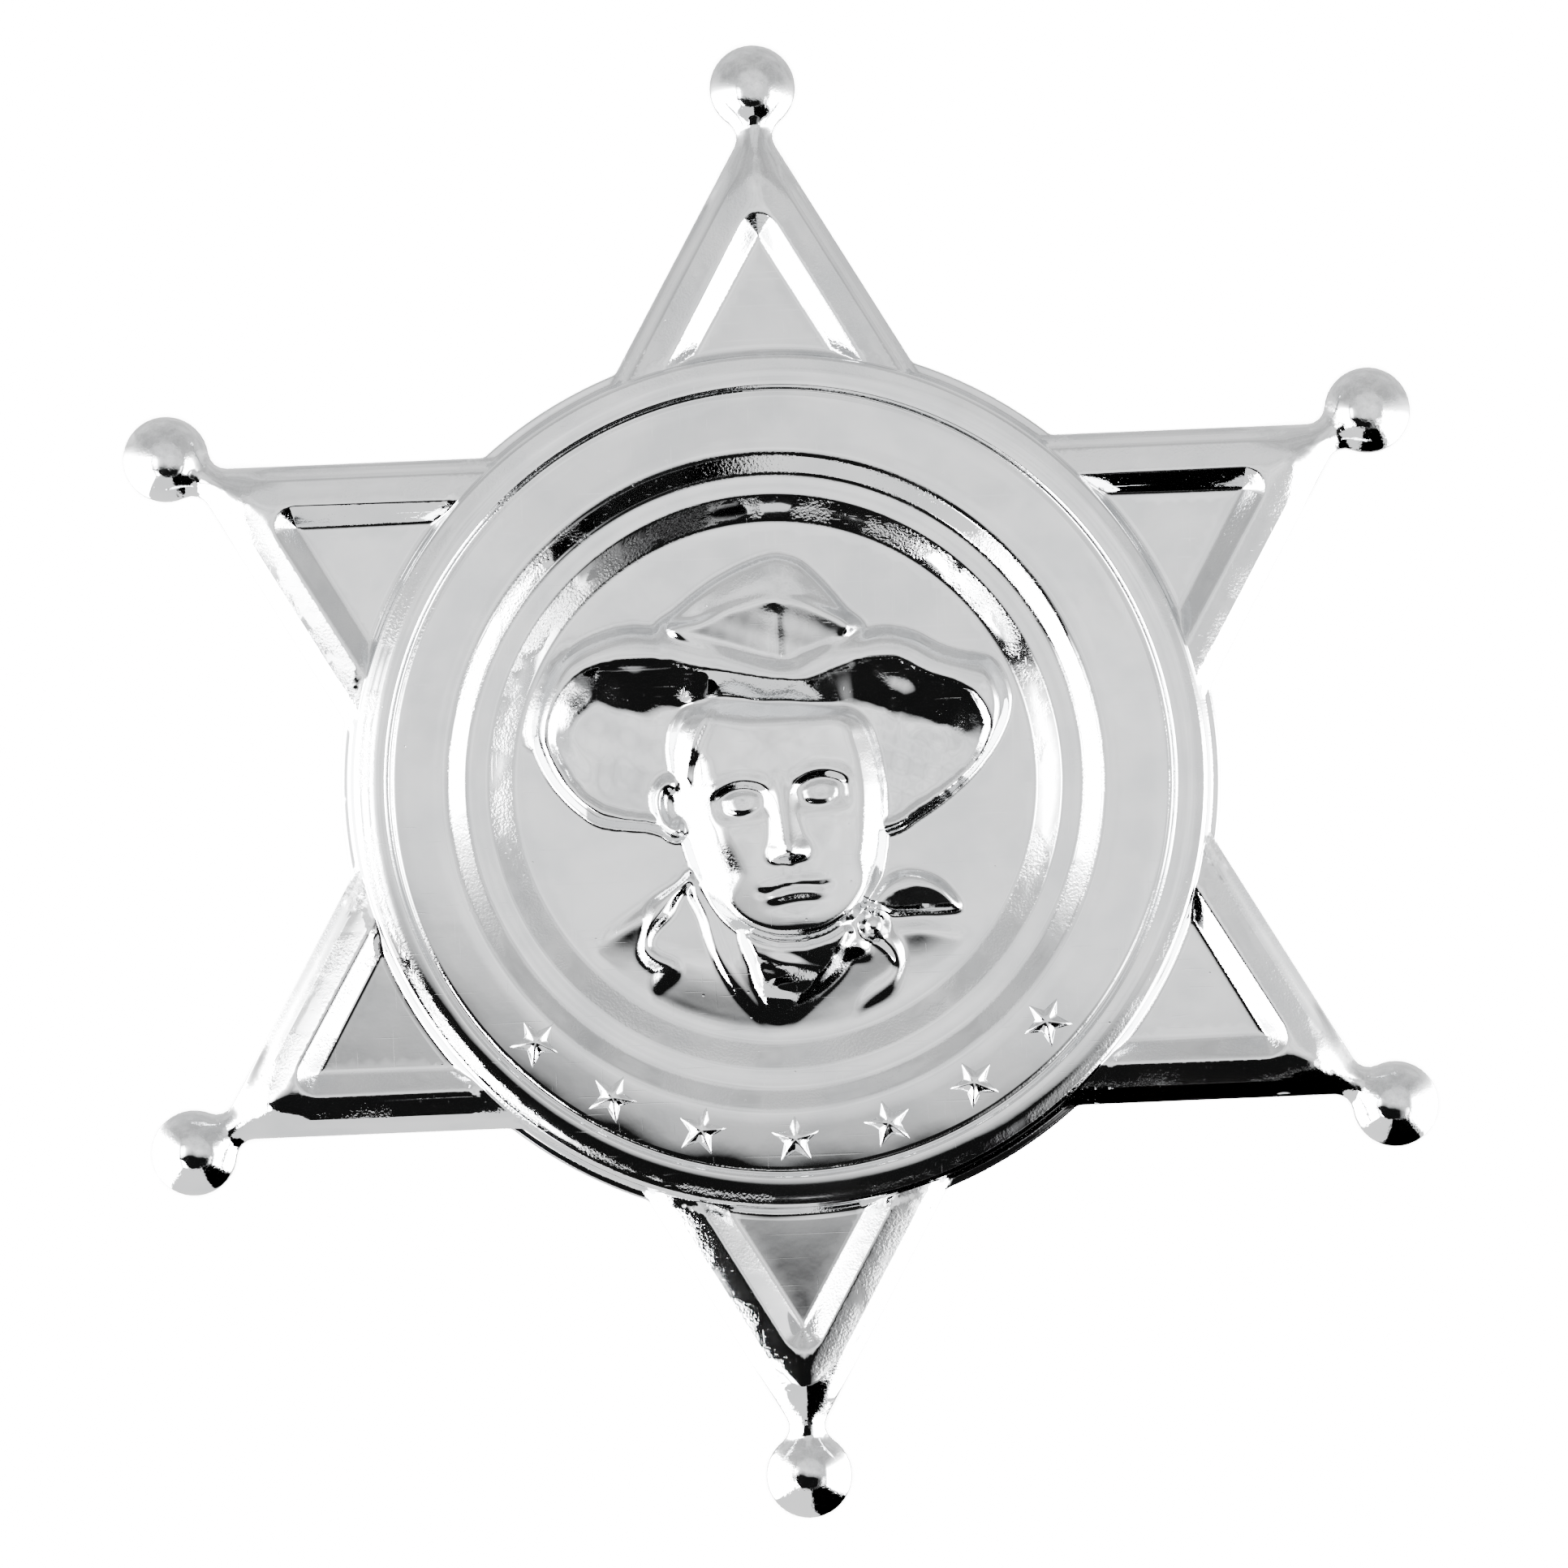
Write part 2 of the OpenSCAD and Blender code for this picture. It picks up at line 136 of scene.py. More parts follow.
def folded_line(x: Array, knots: Profile) -> Array:
    """Heights along a section of straight stretches that are rounded where they meet.

    Args:
        x: Places along the section.
        knots: Place, height and half width of the rounding of each corner, in rising order.

    Returns:
        The height at each place.
    """
    slopes = [0.0]
    for (x0, z0, _), (x1, z1, _) in zip(knots, knots[1:]):
        slopes.append((z1 - z0) / (x1 - x0))
    slopes.append(0.0)
    z = np.full(np.shape(x), knots[0][1], float)
    for (at, _, w), before, after in zip(knots, slopes, slopes[1:]):
        u = x - at
        turn = np.where(u < -w, 0.0, np.where(u > w, u, (u + w) ** 2 / (4.0 * w)))
        z += (after - before) * turn
    return z


def flowing(points: Loop, closed: bool, steps: int = 6) -> Array:
    """A smooth curve through points.

    Args:
        points: Points that the curve passes through.
        closed: True where the curve returns to its first point.
        steps: Stretches between two points.

    Returns:
        The points of the curve, as rows.
    """
    p = np.array(points, float)
    if closed:
        p = np.vstack([p[-1], p, p[0], p[1]])
    else:
        p = np.vstack([2 * p[0] - p[1], p, 2 * p[-1] - p[-2]])
    t = (np.arange(steps) / steps)[:, None]
    runs = []
    for a, b, c, d in zip(p, p[1:], p[2:], p[3:]):
        bend = 2 * a - 5 * b + 4 * c - d + t * (3 * (b - c) + d - a)
        runs.append(b + 0.5 * t * (c - a + t * bend))
    curve = np.vstack(runs)
    return curve if closed else np.vstack([curve, p[-2]])


def arc_points(centre: Sequence[float], radius: float, turns: Array) -> Array:
    """Points of a circle.

    Args:
        centre: Middle of the circle.
        radius: Its radius.
        turns: Angle of each point, in radians.

    Returns:
        The points as rows.
    """
    return centre + radius * np.stack([np.cos(turns), np.sin(turns)], axis=1)


def ring_points(radius: float, start: float, end: float, step: float = RING_STEP) -> Array:
    """Points of a circle about the badge's middle.

    Args:
        radius: Radius of the circle.
        start: Angle of the first point, in degrees.
        end: Angle that ends the row and isn't reached.
        step: Degrees between two points, negative for a clockwise row.

    Returns:
        The points as rows.
    """
    return arc_points((0.0, 0.0), radius, np.radians(np.arange(start, end, step)))


def path_distance(x: Array, y: Array, path: Array) -> Array:
    """Distance to a path of straight stretches.

    Args:
        x: Places across.
        y: Places up.
        path: Points of the path, as rows.

    Returns:
        The distance from each place to the path.
    """
    nearest = np.full(np.shape(x), np.inf)
    for (ax, ay), (bx, by) in zip(path, path[1:]):
        dx, dy = bx - ax, by - ay
        t = np.clip(((x - ax) * dx + (y - ay) * dy) / (dx * dx + dy * dy + 1e-12), 0.0, 1.0)
        nearest = np.minimum(nearest, (x - ax - t * dx) ** 2 + (y - ay - t * dy) ** 2)
    return np.sqrt(nearest)


def loop_depth(x: Array, y: Array, loop: Array) -> Array:
    """Depth inside a closed outline, negative outside it.

    Args:
        x: Places across.
        y: Places up.
        loop: Points of the outline, as rows.

    Returns:
        The depth of each place.
    """
    ring = np.vstack([loop, loop[:1]])
    inside = np.zeros(np.shape(x), bool)
    for (ax, ay), (bx, by) in zip(ring, ring[1:]):
        if ay != by:
            inside ^= ((ay > y) != (by > y)) & (x < ax + (bx - ax) * (y - ay) / (by - ay))
    distance = path_distance(x, y, ring)
    return np.where(inside, distance, -distance)


def over(below: Array, form: Array | float, cover: Array) -> Array:
    """Lays a form over what lies below it, where cover is 1."""
    return below + (form - below) * cover


def thinned(families: Sequence[tuple[Array, float]]) -> Array:
    """Drops points that lie too close to an earlier one.

    Args:
        families: Points as rows with their least distance to others; the ones to keep come first.

    Returns:
        The points that stay, in the same order.
    """
    cell = max(gap for _, gap in families)
    taken: dict[tuple[int, int], list[tuple[float, float]]] = {}
    kept = []
    for points, gap in families:
        for x, y in points.tolist():
            i, j = int(x // cell), int(y // cell)
            around = [(a, b) for a in (i - 1, i, i + 1) for b in (j - 1, j, j + 1)]
            near = [q for spot in around for q in taken.get(spot, ())]
            if all((x - q[0]) ** 2 + (y - q[1]) ** 2 >= gap * gap for q in near):
                taken.setdefault((i, j), []).append((x, y))
                kept.append((x, y))
    return np.array(kept)


# Mesh helpers


# Points closer than this are one point, in millimetres: when filling an edge, and when joining
SAME_POINT = 1e-6
MERGE = 0.002


@dataclass
class Plan:
    """Triangles seen from above: points in millimetres, faces, and the closed edge's points."""

    points: Array
    faces: list[tuple[int, int, int]]
    edge: list[int]

    @classmethod
    def triangulate(cls, edge: Array, inner: Array) -> "Plan":
        """Fills a closed edge with triangles.

        Args:
            edge: Points of the closed edge, counter-clockwise, as rows.
            inner: Points inside it, as rows.

        Returns:
            The plan, whose faces are counter-clockwise.
        """
        n = len(edge)
        flat = [Vector((float(x), float(y))) for x, y in np.vstack([edge, inner])]
        sides = [(i, (i + 1) % n) for i in range(n)]
        out, _, faces, origin, _, _ = delaunay_2d_cdt(flat, sides, [], 1, SAME_POINT)
        points = np.array([tuple(p) for p in out], float)
        found = {i: k for k, sources in enumerate(origin) for i in sources if i < n}
        turned = []
        for a, b, c in faces:
            pa, pb, pc = points[a], points[b], points[c]
            area = (pb[0] - pa[0]) * (pc[1] - pa[1]) - (pc[0] - pa[0]) * (pb[1] - pa[1])
            turned.append((a, b, c) if area > 0 else (a, c, b))
        return cls(points, turned, [found[i] for i in range(n)])


def mesh_object(name: str, points: Array, faces: Sequence[Sequence[int]]) -> bpy.types.Object:
    """Makes a smooth-shaded mesh object at the origin.

    Args:
        name: Name of the object.
        points: Points in millimetres, as rows.
        faces: Point numbers of each face, seen counter-clockwise from outside.

    Returns:
        The object, linked to the scene.
    """
    mesh = bpy.data.meshes.new(name)
    mesh.from_pydata((np.asarray(points, float) * MM).tolist(), [], faces)
    mesh.update()
    mesh.shade_smooth()
    made = bpy.data.objects.new(name, mesh)
    bpy.context.scene.collection.objects.link(made)
    return made


def joined(name: str, parts: Sequence[bpy.types.Object]) -> bpy.types.Object:
    """Joins meshes into one and merges the points that they share.

    Args:
        name: Name of the new object.
        parts: Mesh objects at the origin, which are removed.

    Returns:
        The joined object.
    """
    merged = bmesh.new()
    for part in parts:
        merged.from_mesh(part.data)
    bmesh.ops.remove_doubles(merged, verts=merged.verts, dist=MERGE * MM)
    mesh = bpy.data.meshes.new(name)
    merged.to_mesh(mesh)
    merged.free()
    mesh.shade_smooth()
    for part in parts:
        old = part.data
        bpy.data.objects.remove(part)
        bpy.data.meshes.remove(old)
    made = bpy.data.objects.new(name, mesh)
    bpy.context.scene.collection.objects.link(made)
    return made


def open_edges(piece: bpy.types.Object) -> int:
    """Counts the edges of a mesh that don't join exactly two faces.

    Args:
        piece: The mesh object.

    Returns:
        The count, which is 0 for a closed mesh.
    """
    checked = bmesh.new()
    checked.from_mesh(piece.data)
    count = sum(1 for edge in checked.edges if len(edge.link_faces) != 2)
    checked.free()
    return count


def linear(code: str) -> tuple[float, float, float, float]:
    """Turns an sRGB hex colour into a linear one.

    Args:
        code: The colour, such as "#F2F3F4".

    Returns:
        Linear red, green, blue and alpha.
    """
    parts = [int(code[i : i + 2], 16) / 255.0 for i in (1, 3, 5)]
    made = [c / 12.92 if c <= 0.04045 else ((c + 0.055) / 1.055) ** 2.4 for c in parts]
    return (made[0], made[1], made[2], 1.0)


Link = bpy.types.Node | bpy.types.NodeSocket | bpy.types.Material | float | tuple[float, ...]


def add_node(
    tree: bpy.types.NodeTree,
    kind: str,
    links: dict[str | int, Link] | None = None,
    **settings: object,
) -> bpy.types.Node:
    """Adds a node with its settings, input values and links.

    Args:
        tree: Tree that gets the node.
        kind: Blender's type name of the node.
        links: For an input's name or number its value, the socket to link it to, or a node
            whose first output it is linked to.
        **settings: Properties of the node.

    Returns:
        The node.
    """
    node = tree.nodes.new(kind)
    for key, value in settings.items():
        setattr(node, key, value)
    for key, value in (links or {}).items():
        source = value.outputs[0] if isinstance(value, bpy.types.Node) else value
        if isinstance(source, bpy.types.NodeSocket):
            tree.links.new(source, node.inputs[key])
        else:
            node.inputs[key].default_value = source
    return node


def applied(source: bpy.types.Object, name: str) -> bpy.types.Object:
    """Turns an object with a node tree into a plain mesh object.

    Args:
        source: Object with its modifier; it is removed.
        name: Name of the new object.

    Returns:
        The plain mesh object.
    """
    graph = bpy.context.evaluated_depsgraph_get()
    graph.update()
    mesh = bpy.data.meshes.new_from_object(source.evaluated_get(graph))
    source.modifiers.clear()
    old = source.data
    bpy.data.objects.remove(source)
    bpy.data.meshes.remove(old)
    mesh.name = name
    mesh.shade_smooth()
    made = bpy.data.objects.new(name, mesh)
    bpy.context.scene.collection.objects.link(made)
    return made


class CopyTree:
    """A node tree that sets turned copies of a mesh, makes them real and gives them a material.

    Attributes:
        tree: The node tree.
        inputs: Value of each input, by its socket's identifier.
        given: Node with the tree's inputs.
        order: Node with the number of each copy.
    """

    def __init__(self, name: str, inputs: dict[str, float]) -> None:
        """Starts the tree.

        Args:
            name: Name of the tree.
            inputs: Value of each named input; a whole number makes a whole-number input.
        """
        self.tree = bpy.data.node_groups.new(name, "GeometryNodeTree")
        self.inputs: dict[str, float] = {}
        face = self.tree.interface
        face.new_socket("Geometry", in_out="INPUT", socket_type="NodeSocketGeometry")
        for key, value in inputs.items():
            kind = "NodeSocketInt" if isinstance(value, int) else "NodeSocketFloat"
            socket = face.new_socket(key, in_out="INPUT", socket_type=kind)
            self.inputs[socket.identifier] = value
        face.new_socket("Geometry", in_out="OUTPUT", socket_type="NodeSocketGeometry")
        self.given = add_node(self.tree, "NodeGroupInput")
        self.order = add_node(self.tree, "GeometryNodeInputIndex")

    def spread(
        self,
        source: bpy.types.Object,
        name: str,
        coat: bpy.types.Material,
        turn: Link,
        places: dict[str, Link] | None = None,
    ) -> bpy.types.Object:
        """Ends the tree and applies it.

        Args:
            source: The mesh that is copied; it is removed.
            name: Name of the new object.
            coat: Material of the copies.
            turn: Angle of each copy about Z.
            places: Links that place the copies, which stand at the origin without them.

        Returns:
            A plain mesh object of all the copies.
        """
        about = add_node(self.tree, "ShaderNodeCombineXYZ", {"Z": turn})
        euler = add_node(self.tree, "FunctionNodeEulerToRotation", {0: about})
        where = {"Count": self.given.outputs["Count"]} | (places or {})
        spots = add_node(self.tree, "GeometryNodePoints", where)
        links = {"Points": spots, "Instance": self.given.outputs["Geometry"], "Rotation": euler}
        placed = add_node(self.tree, "GeometryNodeInstanceOnPoints", links)
        real = add_node(self.tree, "GeometryNodeRealizeInstances", {0: placed})
        dressed = add_node(self.tree, "GeometryNodeSetMaterial", {"Geometry": real, "Material": coat})
        add_node(self.tree, "NodeGroupOutput", {0: dressed})
        layer = source.modifiers.new("copies", "NODES")
        layer.node_group = self.tree
        for identifier, value in self.inputs.items():
            layer[identifier] = value
        return applied(source, name)


# Sheet


@dataclass(frozen=True)
class RingSection:
    """Section of the round part, from its flange to the field, in millimetres."""

    flange_r: float = 22.65
    flange_w: float = 0.55
    flange_h: float = 0.4
    crest_outer_r: float = 21.94
    crest_top_r: float = 21.2
    crest_inner_r: float = 20.35
    groove_r: float = 20.12
    groove_h: float = 3.12
    crest_h: float = 3.5
    band_outer_r: float = 19.87
    band_inner_r: float = 16.95
    band_h: float = 3.35
    band_drop: float = 0.13
    # The crest was drawn down most at this angle; only what is higher than this falls with it
    crest_fall: float = 0.26
    crest_fall_deg: float = 205.0
    fall_from_h: float = 2.6
    # The band's outer edge sank a little about this angle, between these radii
    sag: float = 0.042
    sag_deg: float = -100.0
    sag_reach: tuple[float, float] = (18.8, 20.0)
    sag_waves: int = 24
    ledge_outer_r: float = 15.8
    ledge_inner_r: float = 14.8
    ledge_h: float = 2.65
    field_r: float = 13.4
    field_h: float = 1.95
    # The stepped recess was struck this far to the left of the rim
    recess_shift: float = 0.29

    def knots(self) -> Profile:
        """Lists the corners of the section from the middle outwards.

        Returns:
            Radius, height and half width of the rounding of each corner.
        """
        return (
            (self.field_r, self.field_h, 0.16),
            (self.ledge_inner_r, self.ledge_h, 0.12),
            (self.ledge_outer_r, self.ledge_h, 0.2),
            (self.band_inner_r, self.band_h, 0.25),
            (self.band_outer_r, self.band_h - self.band_drop, 0.1),
            (self.groove_r, self.groove_h, 0.08),
            (self.crest_inner_r, self.crest_h - 0.02, 0.09),
            (self.crest_top_r, self.crest_h - 0.05, 0.22),
            (self.crest_outer_r, self.crest_h - 0.25, 0.1),
            (self.flange_r - self.flange_w, self.flange_h + 0.06, 0.1),
            (self.flange_r, self.flange_h - 0.02, 0.1),
        )

    def shift_at(self, r: Array) -> Array:
        """How far the section lies to the left at a radius."""
        return self.recess_shift * (1.0 - smoothstep(r, self.band_inner_r, self.band_outer_r))

    def height(self, x: Array, y: Array) -> Array:
        """Height of the ring's face.

        Args:
            x: Places across.
            y: Places up.

        Returns:
            The height at each place.
        """
        r = np.hypot(x, y)
        return folded_line(np.hypot(x + self.shift_at(r), y), self.knots())

    def fall(self, x: Array, y: Array, z: Array) -> Array:
        """How much lower the crest and the foot of the band were drawn on one side.

        Args:
            x: Places across.
            y: Places up.
            z: Heights there, which tell the crest from what lies below it.

        Returns:
            The drop at each place.
        """
        r = np.hypot(x, y)
        low = math.radians(self.crest_fall_deg)
        side = 0.5 + 0.5 * (x * math.cos(low) + y * math.sin(low)) / np.maximum(r, 1.0)
        share = np.clip((z - self.fall_from_h) / (self.crest_h - self.fall_from_h), 0.0, 1.0)
        crest = self.crest_fall * side * share * smoothstep(r, self.crest_inner_r + 0.05, 21.9)
        turn = np.arctan2(y, x)
        foot = np.maximum(np.cos(turn - math.radians(self.sag_deg)), 0.0) ** 2
        # The stamps of the ornaments pulled the metal down in shallow waves
        foot = foot * (0.7 + 0.3 * np.sin(self.sag_waves * turn)) * smoothstep(z, 0.8, 2.4)
        sag = self.sag * foot * smoothstep(r, *self.sag_reach)
        return (crest + sag) * (r < self.flange_r - 0.25)

    def rows(self, spread: float) -> list[float]:
        """Radii for rows of points: close at the corners, wider on the flat stretches.

        Args:
            spread: Widest step between two rows.

        Returns:
            The radii from the middle outwards.
        """
        radii: list[float] = []
        for at, _, w in self.knots():
            radii += [at - w, at - 0.5 * w, at, at + 0.5 * w, at + w]
        radii.sort()
        filled = [radii[0]]
        for r in radii[1:]:
            gap = r - filled[-1]
            count = max(1, math.ceil(gap / spread))
            start = filled[-1]
            if gap > 0.03:
                filled += [start + gap * (i + 1) / count for i in range(count)]
        return filled


@dataclass(frozen=True)
class StarPoint:
    """One point of the star with its recess, neck and ball, drawn along its own axis."""

    ring: RingSection = field(default_factory=RingSection)
    apex_r: float = 34.6
    land_h: float = 2.9
    wall_w: float = 0.66
    wall_h: float = 2.4
    shoulder_w: float = 1.4
    shoulder_h: float = 2.66
    bevel_w: float = 2.2
    # The recess's floor sinks this much for each millimetre towards the ball
    floor_fall: float = 0.045
    recess_inset: float = 2.1
    recess_slope_w: float = 1.15
    recess_floor_h: float = 2.0
    recess_foot_r: float = 21.7
    recess_foot_w: float = 0.5
    recess_side: float = 9.0
    ball_r: float = 2.2
    ball_reach: float = 1.2
    ball_seat_h: float = 0.4
    neck_h: float = 1.8
    throat_r: float = 0.95
    armpit_r: float = 0.5
    edge_round: float = 0.1
    # Along the point's axis: where its straight edges and its ridge end, where the neck takes
    # over, where the neck sinks, and where it ends inside the ball
    edge_end: float = 30.0
    ridge_end: float = 32.0
    neck_from: tuple[float, float] = (29.6, 31.8)
    neck_fall: tuple[float, float] = (30.2, 33.9)
    neck_end: tuple[float, float] = (34.0, 35.4)

    @property
    def edge_d(self) -> float:
        """Distance from the middle to the two straight edges."""
        return self.apex_r / 2

    @property
    def ball_at(self) -> float:
        """Distance from the middle to the centre of the ball."""
        return self.apex_r + self.ball_reach

    def _from_edge(self, n: float, t: float) -> tuple[float, float]:
        """Turns a distance across and along the upper edge into along and across the point."""
        c, s = math.cos(math.pi / 3), math.sin(math.pi / 3)
        return (c * n + s * t, s * n - c * t)

    def _bend(self, centre: Array, radius: float, ends: tuple[float, float], step: float) -> Array:
        """Points along a bend of the outline, without its last one.

        Args:
            centre: Middle of the bend.
            radius: Its radius.
            ends: Angles where it begins and ends, in radians.
            step: Length of one stretch.

        Returns:
            The points as rows.
        """
        count = max(2, math.ceil(abs(ends[1] - ends[0]) * radius / step))
        return arc_points(centre, radius, np.linspace(*ends, count + 1)[:-1])

    def half_outline(self, step: float, ring_start: bool = True) -> Array:
        """Upper half of the outline, from the ring to the tip of the ball.

        Args:
            step: Length of one stretch.
            ring_start: False to go on straight into the ring instead of round it.

        Returns:
            The points as rows.
        """
        r, f, g = self.ring.flange_r, self.armpit_r, self.throat_r
        ball_n, ball_t = self.ball_at / 2, self.ball_at * math.sin(math.pi / 3)
        pit_t = math.sqrt((r + f) ** 2 - (self.edge_d + f) ** 2)
        throat_t = ball_t - math.sqrt((self.ball_r + g) ** 2 - (self.edge_d + g - ball_n) ** 2)
        pit = np.array(self._from_edge(self.edge_d + f, pit_t))
        throat = np.array(self._from_edge(self.edge_d + g, throat_t))
        ball = np.array([self.ball_at, 0.0])
        pit_angle = math.atan2(pit[1], pit[0])
        to_edge = math.radians(-120)
        to_ball = math.atan2(*(ball - throat)[::-1])
        runs = []
        start_t = 8.0
        if ring_start:
            # The ring's share keeps the same division as the ring itself
            runs.append(ring_points(r, 30, math.degrees(pit_angle), -RING_STEP))
            runs.append(self._bend(pit, f, (pit_angle + math.pi, to_edge + 2 * math.pi), step))
            start_t = pit_t
        along = np.linspace(start_t, throat_t, math.ceil((throat_t - start_t) / step) + 1)[:-1]
        runs.append(np.array([self._from_edge(self.edge_d, t) for t in along]))
        runs.append(self._bend(throat, g, (to_edge, to_ball), step))
        runs.append(self._bend(ball, self.ball_r, (to_ball + math.pi, 0.0), step))
        return np.vstack([*runs, [[self.ball_at + self.ball_r, 0.0]]])

    def height(self, x: Array, y: Array) -> Array:
        """Height of the front, with the ring's skirt, for places outside the ring's crest.

        Args:
            x: Places along the point.
            y: Places across it.

        Returns:
            The height at each place.
        """
        side = path_distance(x, np.abs(y), self.half_outline(0.1, ring_start=False))
        raw = self.edge_d - 0.5 * x - COS_30 * np.abs(y)
        depth = np.where((x < self.edge_end) & (raw < 0), raw, side)
        # The ridge between the two bevels is a little rounded
        ridge = self.edge_d - 0.5 * x - COS_30 * np.hypot(y, 0.35)
        depth = np.where(x < self.ridge_end, np.minimum(depth, ridge + 0.17), depth)
        bevel = folded_line(
            depth,
            (
                (0.0, self.ring.flange_h - 0.02, 0.02),
                (0.3, 0.66, 0.06),
                (self.wall_w, self.wall_h, 0.17),
                (self.shoulder_w, self.shoulder_h, 0.28),
                (self.bevel_w, self.land_h, 0.3),
            ),
        )
        land = self._neck(x, depth, bevel)
        away = np.hypot(x - self.ball_at, y)
        dome = self.ball_seat_h + np.sqrt(np.maximum(self.ball_r**2 - away**2, 0.0))
        dome = np.where(away > self.ball_r, 0.0, dome)
        fillet = np.where(x > self.edge_end, 0.75, 1e-6) * smoothstep(depth, 0.0, 0.5)
        face = soft_max(land, dome, fillet)
        inside = self.recess_level(x, y)
        floor = self.recess_floor_h - self.floor_fall * (x - 25.0)
        sunk = folded_line(inside, ((0.0, 1.0, 0.2), (self.recess_slope_w, 0.0, 0.16)))
        sunk = floor + (self.land_h - floor) * sunk
        face = np.where(inside > -0.25, np.minimum(face, sunk), face)
        skirt = self.ring.height(x, y)
        lowest = np.minimum(face, skirt) - self.ring.flange_h
        return soft_max(face, skirt, np.clip(lowest, 0.0, 0.28))

    def _neck(self, x: Array, depth: Array, bevel: Array) -> Array:
        """Rounds the point off into the neck that carries the ball.

        Args:
            x: Places along the point.
            depth: Depth inside the outline.
            bevel: Height of the bevelled point at each place.

        Returns:
            The height with the rounded neck.
        """
        half = self.half_outline(0.1, ring_start=False)
        half = half[half[:, 0] < self.ball_at]
        # Past the ball's near side the neck keeps its width
        width = np.interp(np.minimum(x, self.ball_at - 1.6), half[:, 0], half[:, 1])
        share = np.clip(depth / np.maximum(width, 0.3), 0.0, 1.0)
        crown = self.land_h - (self.land_h - self.neck_h) * smoothstep(x, *self.neck_fall)
        low = self.ring.flange_h
        tube = low + (crown - low) * np.sqrt(1 - (1 - share) ** 2.2)
        tube *= 1 - 0.9 * smoothstep(x, *self.neck_end)
        return over(bevel, tube, smoothstep(x, *self.neck_from))

    def recess_level(self, x: Array, y: Array) -> Array:
        """Distance into the recess from its upper edge.

        Args:
            x: Places along the point.
            y: Places across it.

        Returns:
            The distance at each place, negative outside the recess.
        """
        floor_inset = self.recess_inset + self.recess_slope_w
        tip = self.apex_r - 2 * floor_inset
        raw = self.edge_d - 0.5 * x - COS_30 * np.abs(y)
        beyond = x - tip > np.abs(y) / math.tan(math.pi / 3)
        gap = np.where(beyond, np.hypot(x - tip, y), floor_inset - raw)
        foot = (np.hypot(x, y) - self.recess_foot_r) * self.recess_slope_w / self.recess_foot_w
        return soft_min(self.recess_slope_w - gap, foot, 0.45)

    def recess_row(self, level: float, step: float) -> Array:
        """Points along the recess at one distance from its upper edge.

        Args:
            level: Distance into the recess.
            step: Distance between two points.

        Returns:
            The points as rows.
        """
        reach = self.recess_slope_w - level
        if reach > 0.05:
            tip = self.apex_r - 2 * (self.recess_inset + self.recess_slope_w)
            rounded = arc_points((tip, 0.0), reach, np.linspace(-math.pi / 3, math.pi / 3, 13))
        else:
            rounded = np.array([[self.apex_r - 2 * (self.recess_inset + level), 0.0]])
        count = int(self.recess_side / step)
        along = (np.arange(count) + 1)[:, None] * step * np.array([[-COS_30, 0.5]])
        upper = rounded[-1] + along
        lower = rounded[0] + along * (1, -1)
        return np.vstack([rounded, upper, lower])

    def round_edge(self, x: Array, y: Array, z: Array) -> Array:
        """Rounds the cut edge of the sheet.

        Args:
            x: Places along the point.
            y: Places across it.
            z: Height of the face there.

        Returns:
            The height with its edge rounded.
        """
        depth = path_distance(x, np.abs(y), self.half_outline(0.1))
        t = np.clip(1 - depth / self.edge_round, 0.0, 1.0)
        return z - self.edge_round * (1 - np.sqrt(1 - 0.98 * t * t))


